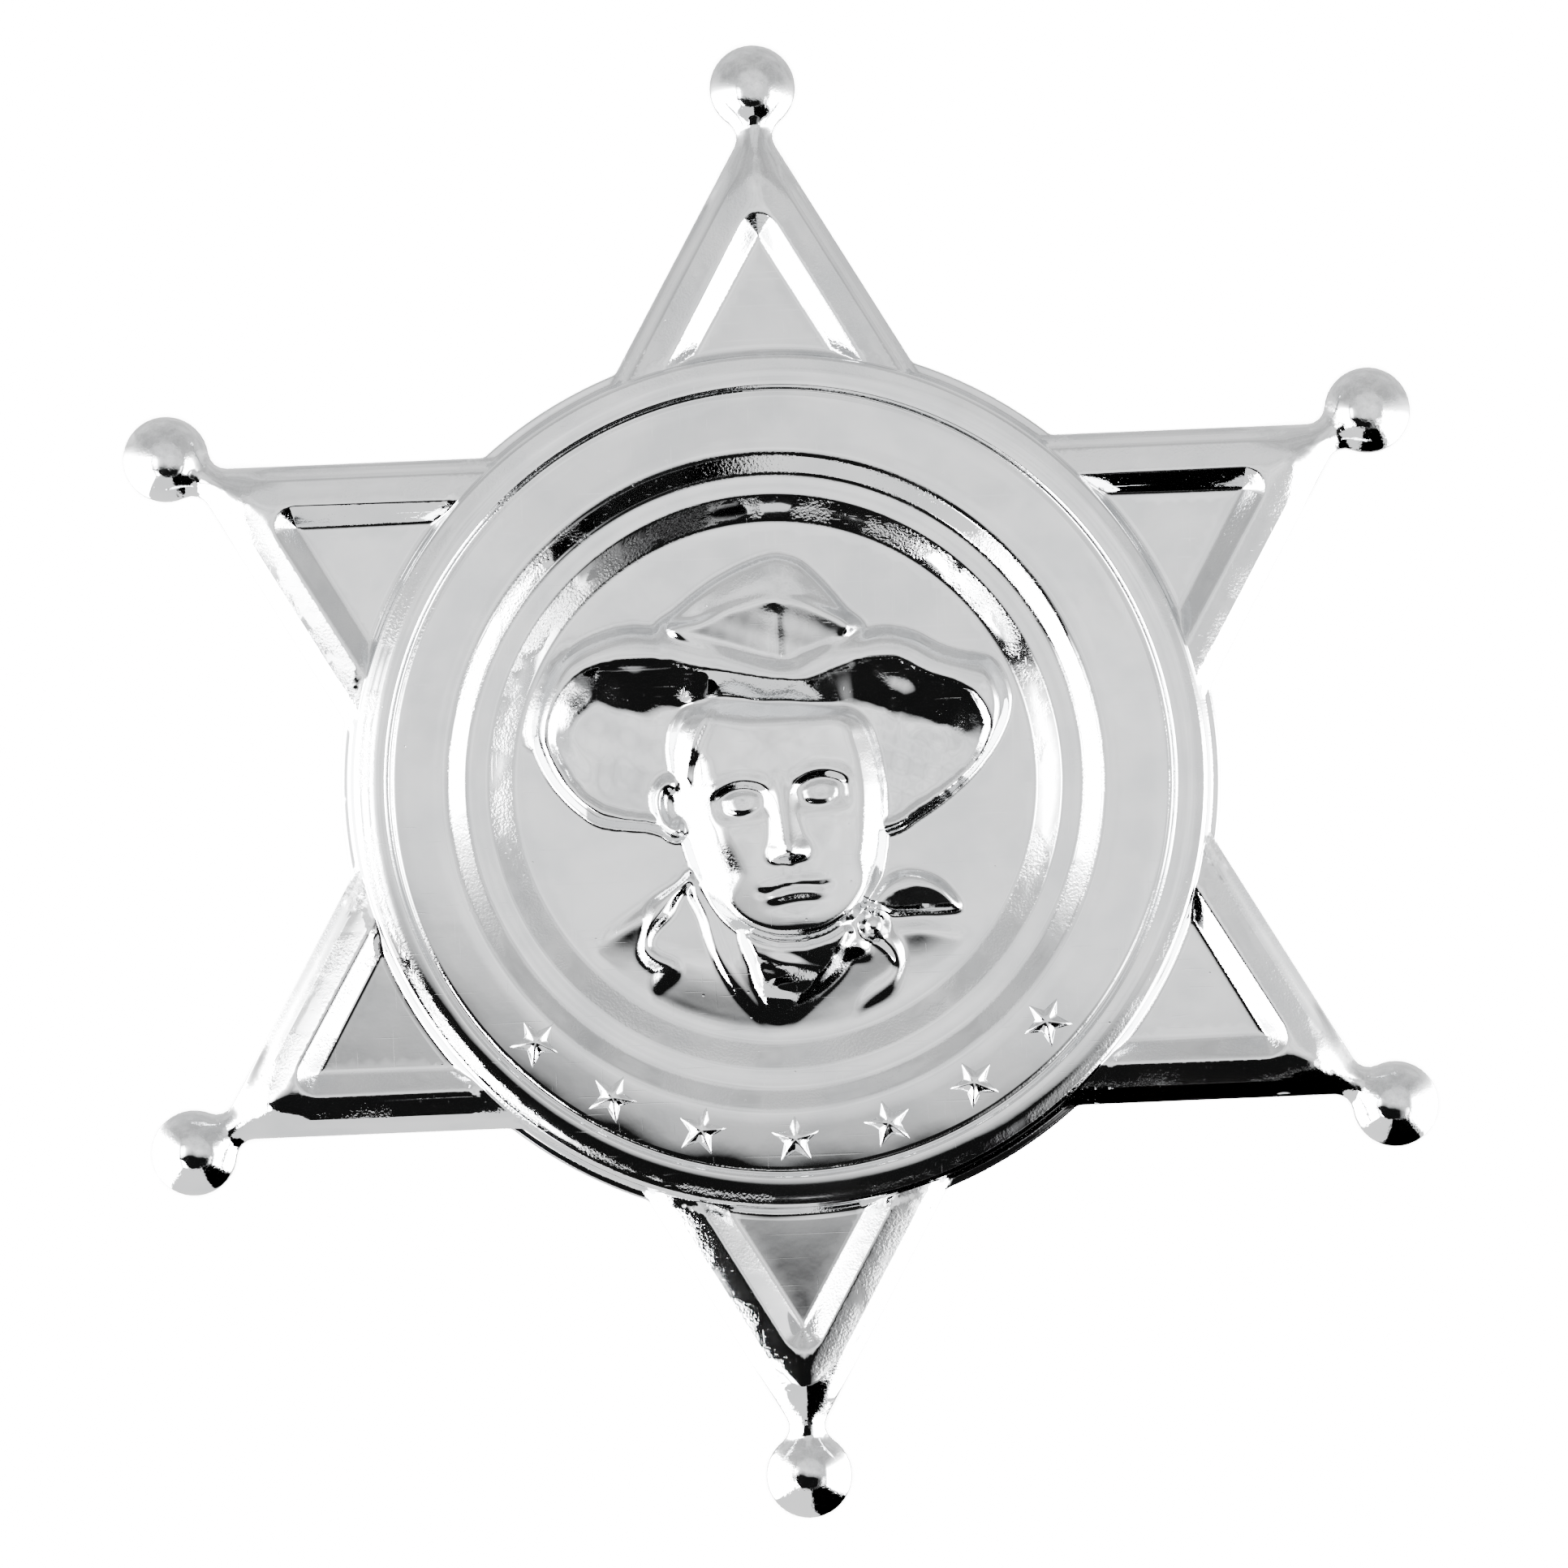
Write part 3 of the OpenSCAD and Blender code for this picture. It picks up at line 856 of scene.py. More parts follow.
@dataclass(frozen=True)
class Relief:
    """Relief of a hatted head and shoulders in the round field, in millimetres."""

    field_r: float = 13.2
    pitch: float = 0.119
    highest: float = 2.5
    head_at: tuple[float, float] = (0.1, -1.9)
    head_tilt: float = 6.0
    # The field lies this far to the left, as the ring's recess does
    shift: float = 0.29

    # Outlines in hundredths of 13.5 mm, [across, up], in order round each form
    UNIT = 0.135
    CROWN = (
        (-46, 58), (-37, 67), (-23, 77), (-8, 84), (2, 86), (11, 83), (19, 75), (27, 65),
        (34, 56), (20, 40), (-30, 40),
    )
    PINCH = (
        (-40, 59), (-29, 62), (-16, 67), (-3, 70), (2, 68), (7, 69), (16, 66), (29, 58),
        (17, 50), (2, 43), (-21, 50),
    )
    # The head from its own middle, and the ridge above the pinch, in millimetres
    HEAD = (
        (-3.0, 6.5), (-4.4, 6.2), (-5.2, 5.0), (-5.4, 3.2), (-5.35, 1.2), (-5.2, -0.6),
        (-4.85, -2.3), (-4.2, -4.0), (-3.1, -5.4), (-1.6, -6.3), (0.0, -6.55), (1.6, -6.3),
        (3.1, -5.4), (4.2, -4.0), (4.85, -2.3), (5.2, -0.6), (5.35, 1.2), (5.2, 3.2),
        (4.8, 4.5), (3.8, 5.3), (2.0, 5.65), (-1.0, 6.15),
    )
    PINCH_RIDGE = (
        (-5.6, 8.0), (-3.9, 8.4), (-2.1, 9.0), (0.2, 9.4), (1.0, 9.4), (2.2, 8.9), (3.9, 7.8),
    )
    # Sections: the crown's flank from its foot in millimetres, the brim's roll from its outer to
    # its inner edge in shares, and the fall of the felt under it in shares
    FLANK = ((0.0, 0.1, 0.02), (0.1, 0.42, 0.04), (1.1, 0.86, 0.2), (2.6, 1.2, 0.4))
    ROLL = ((0.0, 0.0, 0.05), (0.42, 0.86, 0.14), (0.85, 1.0, 0.1), (1.0, 0.97, 0.05))
    UNDER_FALL = ((-0.2, 1.0, 0.01), (0.08, 0.9, 0.05), (1.0, 0.0, 0.2))
    BRIM = (
        (2, 46), (12, 49), (27, 54), (40, 57), (52, 55), (63, 49), (72, 46), (82, 44), (87, 40),
        (89, 33), (87, 22), (82, 12), (74, 2), (64, -7), (52, -15), (40, -21), (10, -24),
        (-30, -22), (-51, -16), (-60, -15), (-70, -13), (-78, -7), (-86, 2), (-91, 12),
        (-94, 23), (-93, 35), (-87, 46), (-75, 55), (-62, 60), (-52, 61), (-41, 59), (-21, 53),
    )
    UNDER = (
        (3, 38), (13, 38), (24, 42), (34, 45), (46, 45), (57, 39), (68, 35), (75, 30),
        (79, 23), (79, 15), (74, 5), (63, -4), (51, -11), (40, -17), (10, -21), (-30, -19),
        (-49, -12), (-59, -10), (-68, -7), (-76, -1), (-82, 8), (-86, 16), (-87, 24),
        (-84, 34), (-76, 43), (-66, 47), (-53, 48), (-41, 47), (-30, 44), (-10, 40),
    )
    SHOULDERS = (
        (-96, -66), (-79, -62), (-67, -53), (-56, -46), (-45, -39), (-36, -35), (0, -40),
        (30, -52), (39, -55), (52, -55), (64, -58), (77, -62), (98, -68), (70, -110),
        (-70, -110),
    )
    COLLAR_LEFT = (
        (-34, -34), (-44, -42), (-51, -51), (-54, -61), (-50, -66), (-44, -69), (-47, -73),
        (-50, -78), (-49, -85), (-43, -89), (-36, -91), (-24, -95), (-6, -101), (0, -80),
        (-10, -50),
    )
    COLLAR_RIGHT = (
        (30, -55), (37, -61), (41, -66), (41, -74), (37, -80), (31, -85), (26, -89),
        (23, -95), (8, -99), (-6, -101), (0, -80), (15, -60),
    )
    LAPEL_LEFT = (
        (-36, -36), (-44, -42), (-51, -51), (-54, -61), (-50, -66), (-44, -69), (-47, -73),
        (-50, -78), (-49, -85), (-44, -89), (-37, -91),
    )
    LAPEL_RIGHT = (
        (35, -60), (40, -65), (42, -72), (38, -79), (32, -84), (27, -88), (24, -94),
    )
    SCARF = (
        (-34, -36), (-32, -52), (-28, -66), (-22, -78), (-15, -88), (-6, -99), (0, -94),
        (11, -83), (21, -73), (28, -60), (30, -50), (10, -40),
    )
    SCARF_MIDDLE = (
        (-16, -56), (-14, -68), (-11, -80), (-6, -93), (2, -87), (13, -77), (21, -66),
        (24, -56), (4, -50),
    )
    TAIL = (
        (31, -48), (36, -41), (42, -37), (49, -36), (58, -39), (64, -45), (67, -51),
        (60, -52), (52, -52), (40, -52),
    )
    TAIL_FOLD = ((34, -49), (40, -44), (48, -41.5), (55, -42.5), (61, -46), (66, -50.5))
    KNOT = (33, -56)

    def _curve(self, points: Loop, closed: bool = True) -> Array:
        """A smooth outline in millimetres through a table's points."""
        return flowing(points, closed) * self.UNIT

    def _jacket(self, x: Array, y: Array) -> Array:
        """Shoulders and collars, nearly flush with the field.

        Args:
            x: Places across.
            y: Places up.

        Returns:
            The heights.
        """
        jacket = loop_depth(x, y, self._curve(self.SHOULDERS))
        outside = smoothstep(np.abs(x + 0.3), 4.2, 7.5)
        cloth = 0.1 + 0.27 * outside * np.exp(-((np.maximum(jacket, 0.0) / 1.7) ** 2))
        z = over(np.zeros(np.shape(x)), cloth, smoothstep(jacket, -0.1, 0.6))
        for outline, edge, rise in (
            (self.COLLAR_LEFT, self.LAPEL_LEFT, 0.26),
            (self.COLLAR_RIGHT, self.LAPEL_RIGHT, 0.3),
        ):
            collar = loop_depth(x, y, self._curve(outline))
            z = over(z, rise + 0.012 * (x - 1) * (y + 9), smoothstep(collar, -0.08, 0.3))
            seam = path_distance(x, y, self._curve(edge, closed=False))
            fat = 0.34 + 0.17 * np.sin(1.9 * y + 0.8 * x)
            z = soft_max(z, rise + 0.32 - 0.32 * (seam / fat) ** 2, 0.1)
        return z

    def _scarf(self, x: Array, y: Array, z: Array) -> Array:
        """Neckerchief with its hem and folds, its free end and its knot.

        Args:
            x: Places across.
            y: Places up.
            z: Heights that lie below.

        Returns:
            The heights with the neckerchief.
        """
        u = self.UNIT
        depth = loop_depth(x, y, self._curve(self.SCARF))
        middle = loop_depth(x, y, self._curve(self.SCARF_MIDDLE))
        cloth = 0.42 + 0.1 * np.exp(-(((depth - 0.16) / 0.12) ** 2))
        cloth += 0.07 * np.exp(-(((depth - 0.48) / 0.1) ** 2))
        drape = 0.36 + 0.17 * np.clip(y + 13.4, 0.0, 6.5)
        folds = np.sin(4.6 * y + 1.6 * np.sin(0.9 * x + 0.4) + 0.5 * x)
        folds += 0.8 * np.sin(2.6 * y - 1.9 * x + 1.0) + 0.5 * np.sin(7.9 * y + 2.3 * x)
        drape += 0.04 * folds * smoothstep(-y, 7.8, 9.2) * (1 - 0.7 * smoothstep(-y, 11.6, 12.4))
        for low, bend, wide in ((-9.9, 0.10, 1.6), (-10.75, 0.07, 1.5), (-11.55, 0.05, 1.1)):
            crease = np.exp(-(((y - low + bend * (x - 0.4) ** 2) / 0.11) ** 2))
            drape += 0.06 * crease * smoothstep(1 - np.abs(x - 0.4) / wide, 0.0, 0.3)
        cloth = over(cloth, drape, smoothstep(middle, -0.15, 0.3))
        z = over(z, cloth, smoothstep(depth, -0.05, 0.2))
        tail = loop_depth(x, y, self._curve(self.TAIL))
        fold_line = path_distance(x, y, self._curve(self.TAIL_FOLD, closed=False))
        below = y < np.interp(x / u, *zip(*self.TAIL_FOLD)) * u
        rough = 0.02 * np.sin(8.0 * x + 2.0 * y) * np.sin(7.0 * y - 3.0 * x)
        leaf = np.where(below, 0.72 - 0.28 * fold_line + rough, 0.74 - 0.3 * fold_line)
        z = over(z, np.maximum(leaf, 0.12), smoothstep(tail, 0.0, 0.22))
        ball = np.hypot(x - self.KNOT[0] * u, y - self.KNOT[1] * u) / 0.72
        return soft_max(z, 0.5 + 0.8 * np.sqrt(np.maximum(1 - ball**2, 0.0)) - 9 * (ball > 1), 0.06)

    def _crown(self, x: Array, y: Array, z: Array) -> Array:
        """Crown of the hat with the pinch at its front.

        Args:
            x: Places across.
            y: Places up.
            z: Heights that lie below.

        Returns:
            The heights with the crown.
        """
        crown = loop_depth(x, y, self._curve(self.CROWN))
        pinch = loop_depth(x, y, self._curve(self.PINCH))
        flank = folded_line(crown, self.FLANK)
        dome = 1.24 - 0.3 * np.maximum(-x - 1.6, 0.0) - 0.28 * np.maximum(x - 2.4, 0.0)
        felt = soft_min(flank, np.maximum(dome, 0.62), 0.12)
        ridge_x, ridge_y = zip(*self.PINCH_RIDGE)
        below = np.maximum(np.interp(x, ridge_x, ridge_y) - y, 0.0)
        hollow = 1.18 - 0.2 * below + 0.012 * below**2
        hollow -= 0.011 * np.sin(4.1 * x + 1.3 * y) * np.sin(3.3 * y - 2.2 * x + 0.5)
        side = np.where(x < 0.12, 0.42, 0.2)
        hollow -= 0.13 * np.exp(-np.abs(x - 0.12) / side) * smoothstep(below, 0.0, 0.7)
        felt = over(felt, np.maximum(hollow, 0.3), smoothstep(pinch, -0.28, 0.12))
        return over(z, felt, smoothstep(crown, 0.0, 0.06))

    def _brim(self, x: Array, y: Array, z: Array) -> Array:
        """Brim: a soft roll all round, and the hollow under it.

        Args:
            x: Places across.
            y: Places up.
            z: Heights that lie below.

        Returns:
            The heights with the brim.
        """
        outer = loop_depth(x, y, self._curve(self.BRIM))
        under = loop_depth(x, y, self._curve(self.UNDER))
        front = smoothstep(y, 0.3, 4.6)
        across = np.clip(outer / np.maximum(outer - under, 1e-6), 0.0, 1.0)
        top = 0.78 + 0.42 * front + 0.12 * front * (1 - smoothstep(np.abs(x), 2.5, 6.0))
        # The roll starts on the crown or on the field
        low = np.maximum(0.25, z + 0.08)
        band = low + (top - low) * folded_line(across, self.ROLL)
        # The felt under the brim falls slowly on the right and halfway out on the left
        wide = 1.35 + 1.35 * smoothstep(x, -0.5, 4.5)
        wide = wide + 1.35 * smoothstep(-x, 2.9, 4.4) * (1 - smoothstep(-x, 8.0, 9.6))
        wide = wide * (1 + 0.22 * np.sin(1.1 * x + 0.6) * np.sin(0.8 * y + 0.9 * x))
        share = folded_line(np.maximum(under, 0.0) / wide, self.UNDER_FALL)
        lumps = 0.045 * np.sin(2.4 * x + 1.1 * y) * np.sin(1.9 * y - 1.1 * x + 0.8)
        lumps *= smoothstep(under, 0.2, 1.0) * (0.35 + 0.65 * smoothstep(x, 3.0, 6.0))
        bowl = 0.34 + (top - 0.42) * share * (0.25 + 0.75 * front) + lumps
        bowl -= 0.1 * bell(x, y, (8.8, 2.6), (1.0, 1.2))
        return over(z, np.where(under > 0, bowl, band), smoothstep(outer, 0.0, 0.06))

    def _eyes(self, m: Array, b: Array) -> Array:
        """Sockets, lids and eyes, the same on both sides.

        Args:
            m: Distances from the axis of the face.
            b: Places up from its middle.

        Returns:
            The rise or fall at each place.
        """
        arch = 1 - ((m - 2.05) / 1.25) ** 2
        lids = smoothstep(arch, -0.05, 0.3)
        socket = 1 - smoothstep(b - 0.42 * arch, 1.35, 1.75)
        z = -0.3 * smoothstep(b, 0.0, 1.0) * socket * smoothstep(arch, -0.5, 0.4)
        eye = 1 - ((m - 2.05) / 1.0) ** 2 - ((b - 1.08) / 0.6) ** 2
        z += 0.3 * np.sqrt(np.maximum(eye, 0.0)) * smoothstep(eye, 0.0, 0.25)
        z += 0.15 * lids * np.exp(-(((b - 1.1 - 0.42 * arch) / 0.12) ** 2))
        z += 0.09 * lids * np.exp(-(((b - 1.02 + 0.32 * arch) / 0.11) ** 2))
        iris = np.hypot(m - 2.05, b - 1.12)
        z += 0.04 * np.exp(-(((iris - 0.3) / 0.09) ** 2)) - 0.06 * np.exp(-((iris / 0.14) ** 2))
        brow = np.exp(-(((b - 1.95 - 0.32 * arch) / 0.26) ** 2))
        return z + 0.12 * brow * smoothstep(1 - ((m - 2.15) / 1.7) ** 2, 0.0, 0.5)

    def _nose(self, a: Array, b: Array) -> Array:
        """Bridge, tip and wings of the nose.

        Args:
            a: Places across the face, from its axis.
            b: Places up from its middle.

        Returns:
            The rise or fall at each place.
        """
        m = np.abs(a)
        down = smoothstep(-b, -1.9, 1.5)
        base = smoothstep(b, -2.28, -1.92)
        bridge = (0.14 + 0.42 * down) * np.exp(-((m / (0.4 + 0.2 * down)) ** 2.4))
        tip = 0.16 * bell(a, b, (0.0, -1.5), (0.5, 0.5))
        wings = 0.22 * bell(m, b, (0.72, -1.72), (0.3, 0.34))
        z = bridge * (1 - smoothstep(b, 1.3, 2.6)) * base + base * (tip + wings)
        return z - 0.1 * bell(m, b, (0.36, -2.16), (0.2, 0.12))

    def _mouth(self, a: Array, b: Array) -> Array:
        """Lips at rest, the hollow below them and the chin.

        Args:
            a: Places across the face, from its axis.
            b: Places up from its middle.

        Returns:
            The rise or fall at each place.
        """
        z = 0.08 * bell(a, b, (0.0, -3.3), (2.4, 1.7))
        z -= 0.05 * bell(a, b, (0.0, -2.75), (0.17, 0.35))
        line = b + 3.55 - 0.05 * np.cos(2.4 * a) + 0.02 * a**2
        lip = smoothstep(1 - (a / 1.9) ** 2, 0.0, 0.6)
        upper = 0.24 - 0.05 * np.exp(-((a / 0.25) ** 2))
        z += 0.13 * lip * np.exp(-(((line - upper) / 0.17) ** 2))
        z -= 0.13 * smoothstep(1 - (a / 2.05) ** 2, 0.0, 0.4) * np.exp(-((line / 0.1) ** 2))
        full = smoothstep(1 - (a / 1.6) ** 2, 0.0, 0.8)
        z += 0.18 * full * np.exp(-(((line + 0.32) / 0.22) ** 2))
        z -= 0.06 * bell(a, b, (0.0, -4.4), (1.1, 0.3))
        return z + 0.1 * bell(a, b, (0.0, -5.2), (1.4, 0.8))

    def _head(self, x: Array, y: Array, z: Array) -> Array:
        """Neck, ear and head, laid over the hat and the dress.

        Args:
            x: Places across.
            y: Places up.
            z: Heights that lie below.

        Returns:
            The heights with the head.
        """
        tilt = math.radians(self.head_tilt)
        c, s = math.cos(tilt), math.sin(tilt)
        dx, dy = x - self.head_at[0], y - self.head_at[1]
        a, b = dx * c + dy * s, dy * c - dx * s
        neck = np.sqrt(np.maximum(1 - ((a - 0.1) / 3.5) ** 2, 0.0))
        z = over(z, np.maximum(z, 1.1 * neck), smoothstep(-b, 2.0, 3.0) * smoothstep(y, -9.4, -8.4))
        ear_a, ear_b = a + 5.62, b - 1.4
        ear = np.hypot(ear_a / (0.98 + 0.1 * ear_b), ear_b / 1.72)
        shell = 0.55 + 0.5 * np.exp(-(((ear - 0.72) / 0.17) ** 2))
        shell -= 0.15 * np.exp(-((ear / 0.4) ** 2))
        shell += 0.35 * bell(ear_a, ear_b, (0.2, -1.25), (0.45, 0.42))
        z = np.where(ear < 1, np.maximum(z, shell * smoothstep(1 - ear, 0.0, 0.1)), z)
        head = loop_depth(a, b, flowing(self.HEAD, closed=True))
        # The left flank of the head is long and the right one short, as on a head half turned
        steep = 0.52 + 0.3 * smoothstep(a, -1.5, 2.0)
        steep = steep + 0.5 * smoothstep(b, 3.4, 5.2) + 1.1 * smoothstep(-b, 2.4, 4.8)
        form = soft_min(0.55 + steep * head, 1.72 - 0.018 * a**2 - 0.004 * b**2, 0.22)
        m = np.abs(a)
        features = self._eyes(m, b) + self._nose(a, b) + self._mouth(a, b)
        cheeks, forehead = bell(m, b, (3.0, -0.5), (1.5, 1.2)), bell(a, b, (0.0, 3.9), (2.6, 1.3))
        features += 0.07 * cheeks + 0.05 * forehead
        form += features * smoothstep(head, 0.15, 1.0)
        # Hair at the temple: a smooth lock with a raised edge between two grooves
        high = np.maximum(b - 2.86, 0.0)
        edge = a + 4.6 - 0.25 * high - 0.085 * high**2
        hair = smoothstep(b, 2.2, 2.8)
        form += hair * (0.08 * smoothstep(-edge, -0.1, 0.1) + 0.2 * np.exp(-((edge / 0.15) ** 2)))
        form -= hair * 0.09 * np.exp(-(((edge - 0.26) / 0.09) ** 2))
        return over(z, form, smoothstep(head, 0.0, 0.1))

    def grid(self) -> tuple[Array, Array]:
        """Works the relief out on a square raster.

        Returns:
            The heights above the field, and the raster's places along one side.
        """
        count = int(self.field_r / self.pitch) + 4
        line = np.arange(-count, count + 1) * self.pitch
        x, y = np.meshgrid(line, line)
        z = self._scarf(x, y, self._jacket(x, y))
        z = self._head(x, y, self._brim(x, y, self._crown(x, y, z)))
        r = np.hypot(x + self.shift, y)
        z = z * (1 - smoothstep(r, self.field_r - 4.0, self.field_r) * smoothstep(-y, 4.0, 6.0))
        z = z * (1 - smoothstep(r, self.field_r - 1.0, self.field_r))
        for _ in range(2):
            for axis in (0, 1):
                z = 0.25 * np.roll(z, 1, axis) + 0.5 * z + 0.25 * np.roll(z, -1, axis)
        return soft_min(z, np.full(z.shape, self.highest), 0.1), line


@dataclass
class Shell:
    """The pressed sheet: six points round a stepped ring, with the relief in its field."""

    # Where the front's mesh points lie: depths inside the outline, distances into the recess,
    # and radii under the star's point beyond the ring's flange
    EDGE_DEPTHS = (
        0.05, 0.1, 0.17, 0.28, 0.42, 0.55, 0.62, 0.69, 0.76, 0.83, 0.9, 0.97, 1.08,
        1.2, 1.32, 1.44, 1.56, 1.68, 1.8, 1.92, 2.04, 2.16, 2.28, 2.4,
    )
    RECESS_LEVELS = (-0.12, -0.03, 0.06, 0.15, 0.3, 0.65, 0.94, 1.01, 1.08, 1.15, 1.22, 1.29, 1.36)
    BEYOND_FLANGE = (22.72, 22.85, 23.1)
    # At the back, rows of points follow the bend from the resting plane into the wall: distances
    # beyond the sheet's thickness inside the outline, and radii along the ring
    BACK_BENDS = (-0.03, 0.08, 0.38, 0.68)
    BACK_RADII = (22.28, 22.14, 21.98, 21.82, 21.66, 21.4)

    sheet_t: float = 0.4
    ring: RingSection = field(default_factory=RingSection)
    point: StarPoint = field(default_factory=StarPoint)
    relief: Relief = field(default_factory=Relief)
    point_count: int = 6

    def __post_init__(self) -> None:
        """Works the relief out once."""
        self._relief_z, self._line = self.relief.grid()

    def _relief_at(self, x: Array, y: Array) -> Array:
        """Height of the relief between the raster's points.

        Args:
            x: Places across.
            y: Places up.

        Returns:
            The height above the field at each place.
        """
        step = self.relief.pitch
        u, v = (x - self._line[0]) / step, (y - self._line[0]) / step
        top = len(self._line) - 2
        i, j = np.clip(u.astype(int), 0, top), np.clip(v.astype(int), 0, top)
        p, q = u - i, v - j
        g = self._relief_z
        z = (g[j, i] * (1 - p) + g[j, i + 1] * p) * (1 - q)
        z += (g[j + 1, i] * (1 - p) + g[j + 1, i + 1] * p) * q
        return np.where(np.hypot(x, y) < self.relief.field_r, z, 0.0)

    def front(self, x: Array, y: Array) -> Array:
        """Height of the front of the sheet.

        Args:
            x: Places across the badge.
            y: Places up.

        Returns:
            The height at each place.
        """
        r = np.hypot(x, y)
        z = self.ring.height(x, y) + self._relief_at(x, y)
        far = r > WEDGE_R - 0.1
        if np.any(far):
            # Every point of the star has the same shape about its own axis
            turn = np.degrees(np.arctan2(y[far], x[far]))
            turn = np.radians(turn % 60 - 30)
            u, v = r[far] * np.cos(turn), r[far] * np.sin(turn)
            z[far] = self.point.height(u, v)
        return z

    def back(self, x: Array, y: Array) -> Array:
        """Height of the back of the sheet, one thickness below the front at all places.

        Args:
            x: Places across the badge.
            y: Places up.

        Returns:
            The height at each place, never below the resting plane.
        """
        t = self.sheet_t
        lowest = self.front(x, y) - t
        for reach, turns in ((0.5, 6), (0.98, 12)):
            drop = t * math.sqrt(1 - reach * reach)
            for k in range(turns):
                angle = 2 * math.pi * k / turns
                px = x + reach * t * math.cos(angle)
                py = y + reach * t * math.sin(angle)
                lowest = np.minimum(lowest, self.front(px, py) - drop)
        return np.maximum(lowest, 0.0)

    def _edge_rows(self, half: Array, depths: Sequence[float], every: int = 1) -> Array:
        """Rows of mesh points that follow the outline of a star's point inside it.

        Args:
            half: Upper half of the outline.
            depths: Depth of each row.
            every: Takes one point out of this many.

        Returns:
            The points as rows, the upper half first.
        """
        tangent = np.gradient(half, axis=0)
        tangent /= np.linalg.norm(tangent, axis=1)[:, None]
        inward = np.stack([tangent[:, 1], -tangent[:, 0]], axis=1)
        found = []
        for depth in depths:
            p = (half + inward * depth)[::every]
            real = path_distance(p[:, 0], np.abs(p[:, 1]), half)
            clear = (np.abs(real - depth) < 0.02) & (p[:, 1] > 0.02)
            found.append(p[clear & (np.hypot(p[:, 0], p[:, 1]) > FOOT_R)])
        upper = np.vstack(found)
        return np.vstack([upper, upper * (1, -1)])

    def _front_points(self, half: Array, radii: Sequence[float]) -> list[tuple[Array, float]]:
        """Mesh points of the front of one star's point, inside its outline.

        Args:
            half: Upper half of the outline.
            radii: Radii of the ring's rows.

        Returns:
            Families of points with their least distance to others, the ones to keep first.
        """
        point = self.point
        rows = self._edge_rows(half, self.EDGE_DEPTHS)
        land = point.recess_level(rows[:, 0], rows[:, 1]) < -0.14
        rows = rows[land & (np.hypot(rows[:, 0] - point.ball_at, rows[:, 1]) > 1.82)]
        recess = np.vstack([point.recess_row(level, 0.24) for level in self.RECESS_LEVELS])
        recess = recess[np.hypot(recess[:, 0], recess[:, 1]) > FOOT_R]
        arcs = []
        for r in (*radii, *self.BEYOND_FLANGE):
            step = RING_STEP / 2 if r < FOOT_R else RING_STEP
            arcs.append(ring_points(r, -30 + step, 30 - 1e-6, step))
        ball = [np.array([[point.ball_at, 0.0]])]
        for tilt in range(6, 55, 6):
            rho = point.ball_r * math.sin(math.radians(tilt))
            count = max(8, int(2 * math.pi * rho / 0.26))
            turns = 2 * math.pi * (np.arange(count) + 0.5) / count
            ball.append(arc_points(ball[0], rho, turns))
        gx, gy = np.meshgrid(np.arange(30.6, 34.9, 0.155), np.arange(-1.55, 1.56, 0.155))
        neck = np.stack([gx.ravel(), gy.ravel()], axis=1)
        gx, gy = np.meshgrid(np.arange(21.2, 36, 0.5), np.arange(-11, 11.1, 0.43))
        gx = gx + 0.25 * (np.arange(gx.shape[0]) % 2)[:, None]
        raster = np.stack([gx.ravel(), gy.ravel()], axis=1)
        families = [(neck, 0.05), (np.vstack(ball), 0.09), (rows, 0.04)]
        return families + [(recess, 0.045), (np.vstack(arcs), 0.045), (raster, 0.22)]

    def _wedge(self) -> bpy.types.Object:
        """Meshes one sixth of the sheet outside the crest.

        Returns:
            Front, back and cut edge as one mesh, still open inside.
        """
        half = self.point.half_outline(0.36)
        outline = np.vstack([half * (1, -1), half[-2::-1]])
        radii = [r for r in self.ring.rows(0.2) if WEDGE_R < r < self.ring.flange_r - 0.02]
        side = np.array([[math.cos(math.pi / 6), math.sin(math.pi / 6)]])
        right = np.array(radii)[::-1, None] * side
        arc = ring_points(WEDGE_R, 30, -30 - 1e-6, -RING_STEP)
        edge = np.vstack([outline, right, arc, right[::-1] * (1, -1)])
        inner = []
        for points, gap in self._front_points(half, radii):
            depth = loop_depth(points[:, 0], points[:, 1], edge)
            inner.append((points[depth > 0.03], gap))
        bends = [self._edge_rows(half, [self.sheet_t + more for more in self.BACK_BENDS], 2)]
        for r in self.BACK_RADII:
            bends.append(ring_points(r, -30 + 2 * RING_STEP, 30 - 1e-6, 2 * RING_STEP))
        bends = np.vstack(bends)
        bends = bends[loop_depth(bends[:, 0], bends[:, 1], edge) > 0.1]
        coarse = [(points, max(4 * gap, 0.52)) for points, gap in inner]
        plan = Plan.triangulate(edge, thinned(inner))
        behind = Plan.triangulate(edge, thinned([(bends, 0.08), *coarse]))
        # The point's own axis is turned to the badge's point at 30 degrees
        c, s = math.cos(math.pi / 6), math.sin(math.pi / 6)
        sheets = []
        for mesh_side, seen in ((SheetSide.FRONT, plan), (SheetSide.BACK, behind)):
            x, y = seen.points.T
            bx, by = c * x - s * y, s * x + c * y
            if mesh_side is SheetSide.FRONT:
                z = self.point.round_edge(x, y, self.front(bx, by))
            else:
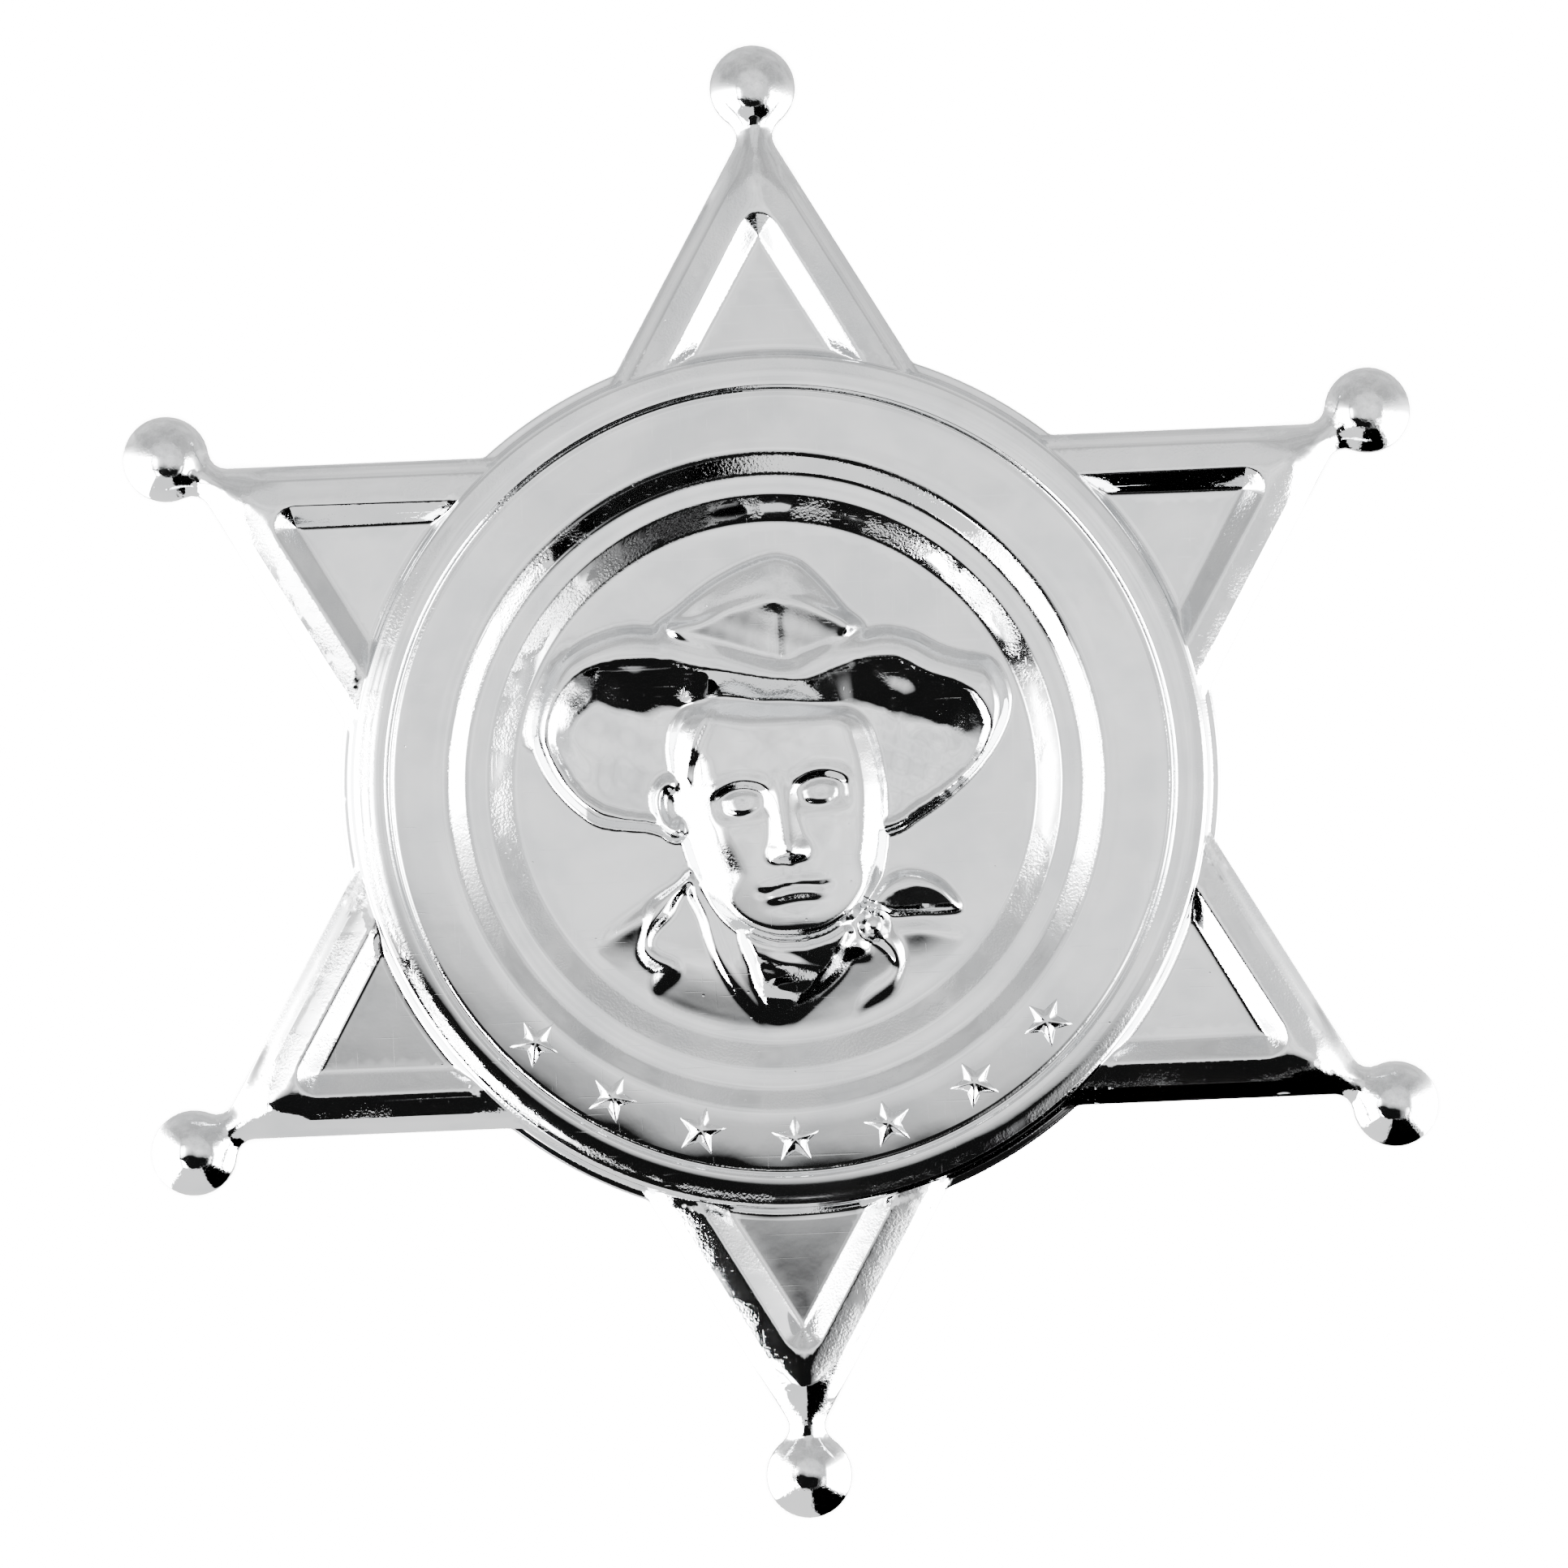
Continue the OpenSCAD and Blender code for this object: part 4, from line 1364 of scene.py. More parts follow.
                # The flange's back lies on the resting plane
                near = path_distance(x, np.abs(y), self.point.half_outline(0.1))
                z = np.where(near < self.sheet_t - 0.02, 0.0, self.back(bx, by))
            sheets.append(np.stack([bx, by, z], axis=1))
        n = len(sheets[0])
        faces = [*plan.faces, *[(a + n, c + n, b + n) for a, b, c in behind.faces]]
        rim = plan.edge[: len(outline)]
        under = [k + n for k in behind.edge[: len(outline)]]
        faces += [(a, c, d, b) for a, b, c, d in zip(rim, rim[1:], under, under[1:])]
        return mesh_object("wedge", np.vstack(sheets), faces)

    def _relief_points(self, pitch: int, reach: float) -> Array:
        """Points of the relief's raster, thinned where the field is plain.

        Args:
            pitch: Steps of the raster between two points.
            reach: Radius of the round area that they fill.

        Returns:
            The points as rows.
        """
        raised = np.abs(self._relief_z) > 0.0004
        for axis in (0, 1):
            raised = raised | np.roll(raised, 2, axis) | np.roll(raised, -2, axis)
        order = np.arange(len(self._line)) - len(self._line) // 2
        every = order % pitch == 0
        wide = order % (4 * pitch) == 0
        kept = (every[:, None] & every[None, :] & raised) | (wide[:, None] & wide[None, :])
        gx, gy = np.meshgrid(self._line, self._line)
        kept &= np.hypot(gx, gy) < reach
        return np.stack([gx[kept], gy[kept]], axis=1)

    def _disc(self) -> bpy.types.Object:
        """Meshes the front and the back of the sheet inside the crest.

        Returns:
            Both faces as one mesh, open at the crest.
        """
        field_r = self.relief.field_r - 0.05
        edge = ring_points(WEDGE_R, 0, 360)
        points, faces = [], []
        total = 0
        # Of each side: widest step between two rings, and one point of a ring and of the relief's
        # raster out of so many
        for side, spread, skip, pitch in ((SheetSide.FRONT, 0.65, 1, 1), (SheetSide.BACK, 1.5, 3, 5)):
            inner = [self._relief_points(pitch, field_r - 0.25)]
            for r in (q for q in self.ring.rows(spread) if field_r < q < WEDGE_R - 0.05):
                shift = self.ring.shift_at(np.array([r]))[0]
                inner.append(ring_points(r, 0, 360)[::skip] - np.array([shift, 0.0]))
            plan = Plan.triangulate(edge, np.vstack(inner))
            x, y = plan.points.T
            z = self.back(x, y) if side is SheetSide.BACK else self.front(x, y)
            points.append(np.stack([x, y, z], axis=1))
            if side is SheetSide.BACK:
                faces += [(a + total, c + total, b + total) for a, b, c in plan.faces]
            else:
                faces += plan.faces
            total += len(x)
        return mesh_object("disc", np.vstack(points), faces)

    def _repeated(self, wedge: bpy.types.Object, coat: bpy.types.Material) -> bpy.types.Object:
        """Repeats the wedge round the badge with a node tree.

        Args:
            wedge: The sixth of the sheet.
            coat: Its material.

        Returns:
            A plain mesh of all the wedges.
        """
        copies = CopyTree("points_round_the_ring", {"Count": self.point_count})
        tree, count = copies.tree, copies.given.outputs["Count"]
        turn = add_node(tree, "ShaderNodeMath", {0: math.tau, 1: count}, operation="DIVIDE")
        angle = add_node(tree, "ShaderNodeMath", {0: copies.order, 1: turn}, operation="MULTIPLY")
        return copies.spread(wedge, "points", coat, angle)

    def build(self, coat: bpy.types.Material) -> bpy.types.Object:
        """Makes the whole sheet as one closed mesh.

        Args:
            coat: Material of the sheet.

        Returns:
            The finished piece.
        """
        points = self._repeated(self._wedge(), coat)
        made = joined("pressed_star", [points, self._disc()])
        place = np.empty(len(made.data.vertices) * 3)
        made.data.vertices.foreach_get("co", place)
        x, y, z = place.reshape(-1, 3).T / MM
        place[2::3] -= self.ring.fall(x, y, z) * MM
        made.data.vertices.foreach_set("co", place)
        made.data.update()
        made.data.materials.clear()
        made.data.materials.append(coat)
        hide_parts("star_shell")
        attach(made, "root")
        return made


@dataclass
class BroochPin:
    """Pin at the back: base strip, rolled hinge with its rivet, wire and bent catch."""

    strip_l: float = 17.0
    strip_w: float = 2.2
    strip_low: float = 2.17
    strip_t: float = 0.49
    edge_r: float = 0.1
    at_y: float = 18.13
    wire_h: float = 0.9
    wire_d: float = 0.8
    tip_l: float = 1.6
    leaf_t: float = 0.38
    catch_w: float = 1.6
    catch_bend_r: float = 0.3
    rivet_r: float = 0.29
    # How far leaf and catch reach into the strip
    sunk: float = 0.2
    round_steps: int = 32

    @property
    def straight_x(self) -> float:
        """Distance from the middle of the strip to the middle of its round end."""
        return (self.strip_l - self.strip_w) / 2

    def _swept(self, rings: Sequence[Array]) -> bpy.types.Object:
        """A closed mesh over rings of points, with both ends filled.

        Args:
            rings: Rings with the same number of points, in order along the sweep.

        Returns:
            The mesh object, at the pin's place behind the badge.
        """
        size = len(rings[0])
        faces = [tuple(range(size)), tuple(size * (len(rings) - 1) + k for k in range(size))]
        for row in range(len(rings) - 1):
            for k in range(size):
                low, up = row * size + k, row * size + (k + 1) % size
                faces.append((low, up, up + size, low + size))
        made = mesh_object("pin_part", np.vstack(rings) + (0.0, self.at_y, 0.0), faces)
        shape = bmesh.new()
        shape.from_mesh(made.data)
        bmesh.ops.recalc_face_normals(shape, faces=shape.faces)
        shape.to_mesh(made.data)
        shape.free()
        return made

    def _strip(self) -> bpy.types.Object:
        """Base strip with round ends and broken edges.

        Returns:
            The closed strip.
        """
        turns = np.linspace(-math.pi / 2, math.pi / 2, self.round_steps // 2)
        end = np.stack([np.cos(turns), np.sin(turns)], axis=1)
        rings = []
        for z, inset in ((0.0, 1.0), (0.3, 0.3), (1.0, 0.0)):
            rings.append((self.strip_low + z * self.edge_r, inset * self.edge_r))
        for z, inset in ((1.0, 0.0), (0.3, 0.3), (0.0, 1.0)):
            rings.append((self.strip_low + self.strip_t - z * self.edge_r, inset * self.edge_r))
        made = []
        for z, inset in rings:
            half = (self.strip_w / 2 - inset) * end
            loop = np.vstack([half + (self.straight_x, 0.0), -half - (self.straight_x, 0.0)])
            made.append(np.column_stack([loop, np.full(len(loop), z)]))
        return self._swept(made)

    def _leaf(self, path: Array, low: float, high: float, across: Axis) -> bpy.types.Object:
        """A leaf of sheet that follows a path seen from the side.

        Args:
            path: Middle line of the leaf: place along the axis that it doesn't lie across, and
                height.
            low: Where the leaf begins across the path.
            high: Where it ends.
            across: Axis that the leaf lies across.

        Returns:
            The closed leaf.
        """
        way = np.gradient(path, axis=0)
        way /= np.linalg.norm(way, axis=1)[:, None]
        off = np.stack([-way[:, 1], way[:, 0]], axis=1) * self.leaf_t / 2
        rings = []
        for (p, z), (u, v) in zip(path, off):
            near, far = (p - u, z - v), (p + u, z + v)
            corners = ((near, low), (far, low), (far, high), (near, high))
            if across is Axis.Y:
                rings.append(np.array([(q, side, up) for (q, up), side in corners]))
            else:
                rings.append(np.array([(side, q, up) for (q, up), side in corners]))
        return self._swept(rings)

    def _round_bar(self, stations: Loop, along: Axis, start: float) -> bpy.types.Object:
        """A round bar at the wire's height; across the strip it stands at the hinge.

        Args:
            stations: Distance from the start and radius of each station.
            along: Axis that the bar follows.
            start: Where the bar begins.

        Returns:
            The closed bar.
        """
        turns = 2 * math.pi * np.arange(self.round_steps) / self.round_steps
        rings = []
        for far, radius in stations:
            side, up = radius * np.cos(turns), self.wire_h + radius * np.sin(turns)
            run = np.full(len(turns), start + far)
            if along is Axis.X:
                rings.append(np.column_stack([run, side, up]))
            else:
                rings.append(np.column_stack([side - self.straight_x, run, up]))
        return self._swept(rings)

    def _hinge(self) -> bpy.types.Object:
        """Leaf that comes down from the strip and rolls round the wire's end.

        Returns:
            The closed leaf.
        """
        roll = (self.wire_d + self.leaf_t) / 2
        centre = (-self.straight_x, self.wire_h)
        curl = arc_points(centre, roll, np.radians(np.arange(180, 470, 10)))
        down = np.linspace(self.strip_low + self.sunk, self.wire_h + 0.1, 5)
        path = np.vstack([np.column_stack([np.full(len(down), curl[0, 0]), down]), curl])
        half = self.strip_w / 2 - 0.1
        return self._leaf(path, -half, half, Axis.Y)

    def _catch(self) -> bpy.types.Object:
        """Leaf that comes down beside the wire and bends under it.

        Returns:
            The closed leaf.
        """
        side = (self.wire_d + self.leaf_t) / 2
        low = self.wire_h - side + 0.02
        bend = self.catch_bend_r
        corner = arc_points((side - bend, low + bend), bend, np.radians(np.arange(0, -91, -15)))
        start = [(side, self.strip_low + self.sunk), (side, 1.4)]
        path = np.vstack([start, corner, [(0.0, low), (-side * 0.7, low + 0.02)]])
        half = self.catch_w / 2
        return self._leaf(path, self.straight_x - half, self.straight_x + half, Axis.X)

    def _wire(self) -> bpy.types.Object:
        """Wire from the hinge to past the catch, ground to a point.

        Returns:
            The closed wire.
        """
        r, length = self.wire_d / 2, 2 * self.straight_x
        stations = [(0.0, r), (length, r)]
        for t in (0.25, 0.5, 0.75, 0.97):
            stations.append((length + t * self.tip_l, r * (1 - 0.8 * t**1.5)))
        stations.append((length + self.tip_l, 0.02))
        return self._round_bar(stations, Axis.X, -self.straight_x)

    def _rivet(self) -> bpy.types.Object:
        """Rivet through the hinge, with its ends rounded over.

        Returns:
            The closed rivet.
        """
        head = [(0.0, self.rivet_r - 0.15), (0.03, self.rivet_r - 0.05), (0.1, self.rivet_r)]
        stations = head + [(self.strip_w - far, radius) for far, radius in reversed(head)]
        return self._round_bar(stations, Axis.Y, -self.strip_w / 2)

    def build(self, coat: bpy.types.Material) -> bpy.types.Object:
        """Makes the pin as one piece.

        Args:
            coat: Material of strip and wire.

        Returns:
            The finished piece.
        """
        parts = [self._strip(), self._hinge(), self._wire(), self._rivet(), self._catch()]
        made = joined("brooch_pin_steel", parts)
        made.data.set_sharp_from_angle(angle=math.radians(40))
        made.data.materials.append(coat)
        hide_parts("brooch_pin")
        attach(made, "root")
        return made


@dataclass
class BandStars:
    """Small raised stars along the band, spread evenly about its lowest place."""

    # From the foot of a star up to its peak: share of its outline and height above the band
    LEVELS = (
        (1.0, 0.02), (0.95, 0.05), (0.88, 0.1), (0.75, 0.17), (0.6, 0.235), (0.45, 0.285),
        (0.3, 0.322), (0.16, 0.343),
    )

    count: int = 7
    pitch_deg: float = 15.2
    ring_r: float = 18.375
    star_r: float = 1.35
    waist: float = 0.45
    rise: float = 0.35
    band_h: float = 3.25
    sunk: float = 0.25

    def _star(self) -> bpy.types.Object:
        """Meshes one star about the origin, with its first point along +Y.

        Returns:
            The closed star.
        """
        corners = []
        for k in range(10):
            r = self.star_r * (1.0 if k % 2 == 0 else self.waist)
            a = math.radians(90 + 36 * k)
            corners.append(np.array([r * math.cos(a), r * math.sin(a)]))
        ring = []
        for a, b in zip(corners, corners[1:] + corners[:1]):
            ring += [a + (b - a) * t for t in (0.0, 0.33, 0.67)]
        ring = np.array(ring)
        levels = [(1.0, -self.sunk), *self.LEVELS]
        points = [(0.0, 0.0, self.band_h - self.sunk)]
        for share, z in levels:
            points += [(share * x, share * y, self.band_h + z) for x, y in ring]
        points.append((0.0, 0.0, self.band_h + self.rise))
        n, top = len(ring), len(points) - 1
        faces: list[tuple[int, ...]] = []
        for i in range(n):
            j = (i + 1) % n
            faces.append((0, 1 + j, 1 + i))
            for k in range(len(levels) - 1):
                low, high = 1 + k * n, 1 + (k + 1) * n
                faces.append((low + i, low + j, high + j, high + i))
            last = 1 + (len(levels) - 1) * n
            faces.append((last + i, last + j, top))
        return mesh_object("one_star", np.array(points), faces)

    def build(self, coat: bpy.types.Material) -> bpy.types.Object:
        """Sets the stars along the band with a node tree.

        Args:
            coat: Material of the sheet.

        Returns:
            The finished piece.
        """
        inputs = {
            "Count": self.count,
            "Pitch": math.radians(self.pitch_deg),
            "Ring radius": self.ring_r * MM,
        }
        copies = CopyTree("stars_along_the_band", inputs)
        tree, given = copies.tree, copies.given.outputs
        last = add_node(tree, "ShaderNodeMath", {0: given["Count"], 1: 1.0}, operation="SUBTRACT")
        half = add_node(tree, "ShaderNodeMath", {0: last, 1: 0.5}, operation="MULTIPLY")
        place = add_node(tree, "ShaderNodeMath", {0: copies.order, 1: half}, operation="SUBTRACT")
        turn = add_node(tree, "ShaderNodeMath", {0: place, 1: given["Pitch"]}, operation="MULTIPLY")
        reach = {0: given["Ring radius"], 1: -1.0}
        down = add_node(tree, "ShaderNodeMath", reach, operation="MULTIPLY")
        start = add_node(tree, "ShaderNodeCombineXYZ", {"Y": down})
        spot = add_node(tree, "ShaderNodeVectorRotate", {"Vector": start, "Angle": turn})
        made = copies.spread(self._star(), "band_stars", coat, turn, {"Position": spot})
        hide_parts("star_shell")
        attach(made, "root")
        return made


# Finishes


SOFT = "SMOOTHSTEP"


def bare_metal(name: str, values: dict[str, Link]) -> tuple[bpy.types.Material, bpy.types.Node]:
    """Starts a metal.

    Args:
        name: Name of the material.
        values: Input values of its shader.

    Returns:
        The material and its shader node.
    """
    coat = bpy.data.materials.new(name)
    coat.use_nodes = True
    coat.node_tree.nodes.clear()
    metal = add_node(coat.node_tree, "ShaderNodeBsdfPrincipled", {"Metallic": 1.0} | values)
    add_node(coat.node_tree, "ShaderNodeOutputMaterial", {"Surface": metal})
    return coat, metal


@dataclass(frozen=True)
class Surface:
    """Patterns of a metal's surface, with their sizes in millimetres on the object."""

    metal: bpy.types.Node
    place: Link

    @property
    def tree(self) -> bpy.types.NodeTree:
        """The material's node tree."""
        return self.metal.id_data

    def lumps(
        self, size: float, detail: float = 1.0, stretch: tuple[float, float, float] | None = None
    ) -> bpy.types.Node:
        """Noise whose lumps are about size millimetres wide.

        Args:
            size: Width of a lump.
            detail: Octaves of finer lumps.
            stretch: Share of the scale along each axis, after a turn of 35 degrees, for streaks.

        Returns:
            The noise, from 0 to 1.
        """
        way = self.place
        if stretch:
            turned = {"Vector": way, "Rotation": (0.0, 0.0, math.radians(35)), "Scale": stretch}
            way = add_node(self.tree, "ShaderNodeMapping", turned)
        links = {"Vector": way, "Scale": 1.0 / (size * MM), "Detail": detail}
        return add_node(self.tree, "ShaderNodeTexNoise", links)

    def patches(
        self, lumps: bpy.types.Node, low: float, high: float, least: float = 0.0, most: float = 1.0
    ) -> bpy.types.Node:
        """Draws soft-edged patches where noise is strong.

        Args:
            lumps: The noise.
            low: Noise where a patch begins.
            high: Noise where it is full.
            least: Strength beside the patches.
            most: Strength of a full patch.

        Returns:
            The strength.
        """
        links = {"Value": lumps, "From Min": low, "From Max": high, "To Min": least, "To Max": most}
        return add_node(self.tree, "ShaderNodeMapRange", links, interpolation_type=SOFT)

    def emboss(self, layers: Sequence[tuple[Link, float]]) -> None:
        """Adds layers up to one height, which bends the light on the metal.

        Args:
            layers: Pattern of each layer, from 0 to 1, and its rise in millimetres.
        """
        height: Link = 0.0
        for pattern, rise in layers:
            links = {0: pattern, 1: rise, 2: height}
            height = add_node(self.tree, "ShaderNodeMath", links, operation="MULTIPLY_ADD")
        links = {"Height": height, "Strength": 1.0, "Distance": MM}
        bent = add_node(self.tree, "ShaderNodeBump", links)
        self.tree.links.new(bent.outputs[0], self.metal.inputs["Normal"])

    def colour(self, share: Link, clean: str, worn: str, rough: Link, lines: Link) -> None:
        """Sets colour and roughness.

        Args:
            share: How worn the metal is, from 0 to 1.
            clean: Colour of the clean metal.
            worn: Colour of the worn metal.
            rough: Roughness without the lines.
            lines: Scratches or drawing lines, which are a little rougher.
        """
        more = {0: lines, 1: 0.1, 2: rough}
        whole = add_node(self.tree, "ShaderNodeMath", more, operation="MULTIPLY_ADD")
        self.tree.links.new(whole.outputs[0], self.metal.inputs["Roughness"])
        mixed = {0: share, 6: linear(clean), 7: linear(worn)}
        tone = add_node(self.tree, "ShaderNodeMix", mixed, data_type="RGBA")
        self.tree.links.new(tone.outputs[2], self.metal.inputs["Base Color"])


@dataclass(frozen=True)
class BrightPlate:
    """Nickel-chrome plate on pressed steel: mirror bright, with fine scratches and small pits.

    The press leaves long waves and dents, plating leaves a faint peel and a sandy grain on the
    slopes, and wear leaves the rest. Scratches and pits are drawn wider than real ones, so that
    they show.
    """

    clean: str = "#F2F3F4"
    worn: str = "#E4E6E8"
    roughness: float = 0.035
    haze: float = 0.085
    # Width and height of each pattern in millimetres
    wave_w: float = 4.5
    wave_h: float = 0.028
    peel_w: float = 0.7
    peel_h: float = 0.0016
    sand_w: float = 0.14
    sand_h: float = 0.01
    dent_w: float = 1.7
    dent_h: float = 0.006
    scratch_w: float = 0.1
    scratch_h: float = 0.0008
    pit_pitch: float = 1.6
    pit_h: float = 0.006

    def make(self) -> bpy.types.Material:
        """Builds the material.

        Returns:
            The material.
        """
        bare = {"Base Color": linear(self.clean), "Roughness": self.roughness}
        coat, metal = bare_metal("bright_plated_pressed_steel", bare)
        tree = coat.node_tree
        place = add_node(tree, "ShaderNodeTexCoord").outputs["Object"]
        on = Surface(metal, place)
        # Sand shows on the slopes, in patches
        facing = add_node(tree, "ShaderNodeNewGeometry").outputs["Normal"]
        upward = add_node(tree, "ShaderNodeSeparateXYZ", {0: facing}).outputs[2]
        steep = {"Value": upward, "From Min": 0.995, "From Max": 0.95}
        slope = add_node(tree, "ShaderNodeMapRange", steep, interpolation_type=SOFT)
        patchy = {0: slope, 1: on.patches(on.lumps(2.5, 2.0), 0.4, 0.56)}
        sandy = add_node(tree, "ShaderNodeMath", patchy, operation="MULTIPLY")
        grains = {0: on.lumps(self.sand_w, 2.0), 1: sandy}
        sand = add_node(tree, "ShaderNodeMath", grains, operation="MULTIPLY")
        knocks = {0: on.lumps(self.dent_w), 1: on.patches(on.lumps(8.0), 0.4, 0.6, 0.25)}
        dents = add_node(tree, "ShaderNodeMath", knocks, operation="MULTIPLY")
        # Scratches run in two directions
        along = on.patches(on.lumps(self.scratch_w, 0.0, (0.012, 1.0, 1.0)), 0.76, 0.82)
        across = on.patches(on.lumps(self.scratch_w, 0.0, (1.0, 0.02, 1.0)), 0.78, 0.84)
        lines = add_node(tree, "ShaderNodeMath", {0: along, 1: across}, operation="MAXIMUM")
        cells = {"Vector": place, "Scale": 1.0 / (self.pit_pitch * MM)}
        spots = add_node(tree, "ShaderNodeTexVoronoi", cells).outputs["Distance"]
        holes = {"Value": spots, "From Min": 0.05, "From Max": 0.02}
        pits = add_node(tree, "ShaderNodeMapRange", holes, interpolation_type=SOFT)
        on.emboss(
            (
                (on.lumps(self.wave_w), self.wave_h),
                (on.lumps(self.peel_w, 2.0), self.peel_h),
                (sand, self.sand_h),
                (dents, self.dent_h),
                (lines, -self.scratch_h),
                (pits, -self.pit_h),
            )
        )
        handled = on.patches(on.lumps(6.0, 4.0), 0.45, 0.75, self.roughness, self.haze)
        on.colour(on.patches(on.lumps(3.0, 3.0), 0.35, 0.7), self.clean, self.worn, handled, lines)
        return coat


@dataclass(frozen=True)
class SatinSteel:
    """Drawn and blanked steel: fine lines along the draw, dull patches and a few nicks."""

    clean: str = "#C2C4C6"
    dull: str = "#9DA0A3"
    roughness: float = 0.22
    dull_roughness: float = 0.38
    # Width of a drawing line, of a dull patch and of a nick, and their heights, in millimetres
    line_w: float = 0.05
    line_h: float = 0.0022
    patch_w: float = 2.2
    nick_w: float = 0.35
    nick_h: float = 0.006

    def make(self) -> bpy.types.Material:
        """Builds the material.

        Returns:
            The material.
        """
        coat, metal = bare_metal("satin_drawn_steel", {})
        tree = coat.node_tree
        place = add_node(tree, "ShaderNodeTexCoord").outputs["Object"]
        # The lines run along the pin, which lies along X
        drawn = add_node(tree, "ShaderNodeMapping", {"Vector": place, "Scale": (0.02, 1.0, 1.0)})
        lines = Surface(metal, drawn).lumps(self.line_w, 2.0)
        on = Surface(metal, place)
        patches = on.patches(on.lumps(self.patch_w, 3.0), 0.4, 0.65)
        nicks = on.patches(on.lumps(self.nick_w, 0.0), 0.72, 0.8)
        on.emboss(((lines, self.line_h), (nicks, -self.nick_h)))
        rough = on.patches(patches, 0.0, 1.0, self.roughness, self.dull_roughness)
        on.colour(patches, self.clean, self.dull, rough, lines)
        return coat


# Studio


PURE_WHITE = (1.0, 1.0, 1.0, 1.0)
DEGREE = 180 / math.pi


@dataclass(frozen=True)
class SoftCard:
    """A card beside or over the badge that only shows as a reflection.

    Its rows run from one edge to the other. Each point is x, y, z in millimetres and how far the
    card covers what lies behind it there, from 0 to 1.
    """

    name: str
    glow: float
    rows: CardRows

    def build(self) -> bpy.types.Object:
        """Makes the card as a stage object.

        Returns:
            The card, which only reflections see.
        """
        width = len(self.rows[0])
        table = np.array([point for row in self.rows for point in row])
        faces = [
            (k * width + i, k * width + i + 1, (k + 1) * width + i + 1, (k + 1) * width + i)
            for k in range(len(self.rows) - 1)
            for i in range(width - 1)
        ]
        made = mesh_object(self.name, table[:, :3], faces)
        cover = made.data.attributes.new("cover", "FLOAT", "POINT")
        cover.data.foreach_set("value", table[:, 3])
        cloth = bpy.data.materials.new(self.name + "_cloth")
        cloth.use_nodes = True
        tree = cloth.node_tree
        tree.nodes.clear()
        share = add_node(tree, "ShaderNodeAttribute", attribute_name="cover").outputs["Fac"]
        lit = add_node(tree, "ShaderNodeEmission", {"Color": PURE_WHITE, "Strength": self.glow})
        clear = add_node(tree, "ShaderNodeBsdfTransparent")
        mixed = add_node(tree, "ShaderNodeMixShader", {0: share, 1: clear, 2: lit})
        add_node(tree, "ShaderNodeOutputMaterial", {"Surface": mixed})
        made.data.materials.append(cloth)
        made.visible_camera = made.visible_diffuse = made.visible_shadow = False
        return made


def upright(x: float, ends: Loop, top: float) -> CardRows:
    """Rows of a white card that stands on a line across X, with soft ends and a soft top.

    Args:
        x: Where it stands.
        ends: Places along Y with the cover there.
        top: Height of its upper edge.

    Returns:
        The rows of a soft card.
    """
    heights = ((-400.0, 1.0), (0.86 * top, 1.0), (0.93 * top, 0.25))
    heights += ((top, 0.05), (1.12 * top, 0.0))
    return tuple(tuple((x, y, z, a * b) for y, a in ends) for z, b in heights)


def level(lines: Sequence[Loop], covers: Sequence[Sequence[float]], z: float) -> CardRows:
    """Rows of a card that lies level.

    Args:
        lines: Points of each row.
        covers: Cover at each point of each row.
        z: Height of the card.

    Returns:
        The rows of a soft card.
    """
    rows = []
    for line, cover in zip(lines, covers):
        rows.append(tuple((x, y, z, share) for (x, y), share in zip(line, cover)))
    return tuple(rows)


WHITE = 27.0
LID_H = 123.0
# Along X: where the dark gap at the foot begins, is full, and ends, and how dark it gets
GAP = (
    (-125.0, -20.0, -46.0, -50.0, 1.0),
    (-95.0, -12.0, -42.0, -50.0, 1.0),
    (-80.0, -6.0, -36.0, -58.0, 1.0),
    (-72.0, -3.0, -32.0, -76.0, 1.0),
    (-55.0, 0.0, -28.0, -100.0, 1.0),
    (-35.0, 0.0, -29.0, -108.0, 1.0),
    (-10.0, -14.0, -40.0, -108.0, 1.0),
    (20.0, -14.0, -42.0, -100.0, 1.0),
    (42.0, -16.0, -50.0, -100.0, 1.0),
    (56.0, -18.0, -54.0, -100.0, 0.8),
    (80.0, -26.0, -62.0, -100.0, 0.7),
    (125.0, -60.0, -90.0, -100.0, 0.6),
)
# Along Y: where the white cards end, and their cover there
LEFT_ENDS = (
    (-122.0, 0.0), (-116.0, 1.0), (26.0, 1.0), (38.0, 0.2), (48.0, 0.06), (62.0, 0.015), (80.0, 0.0),
)
RIGHT_ENDS = (
    (-108.0, 0.0), (-104.0, 1.0), (4.0, 1.0), (16.0, 0.2), (28.0, 0.06), (44.0, 0.015), (64.0, 0.0),
)
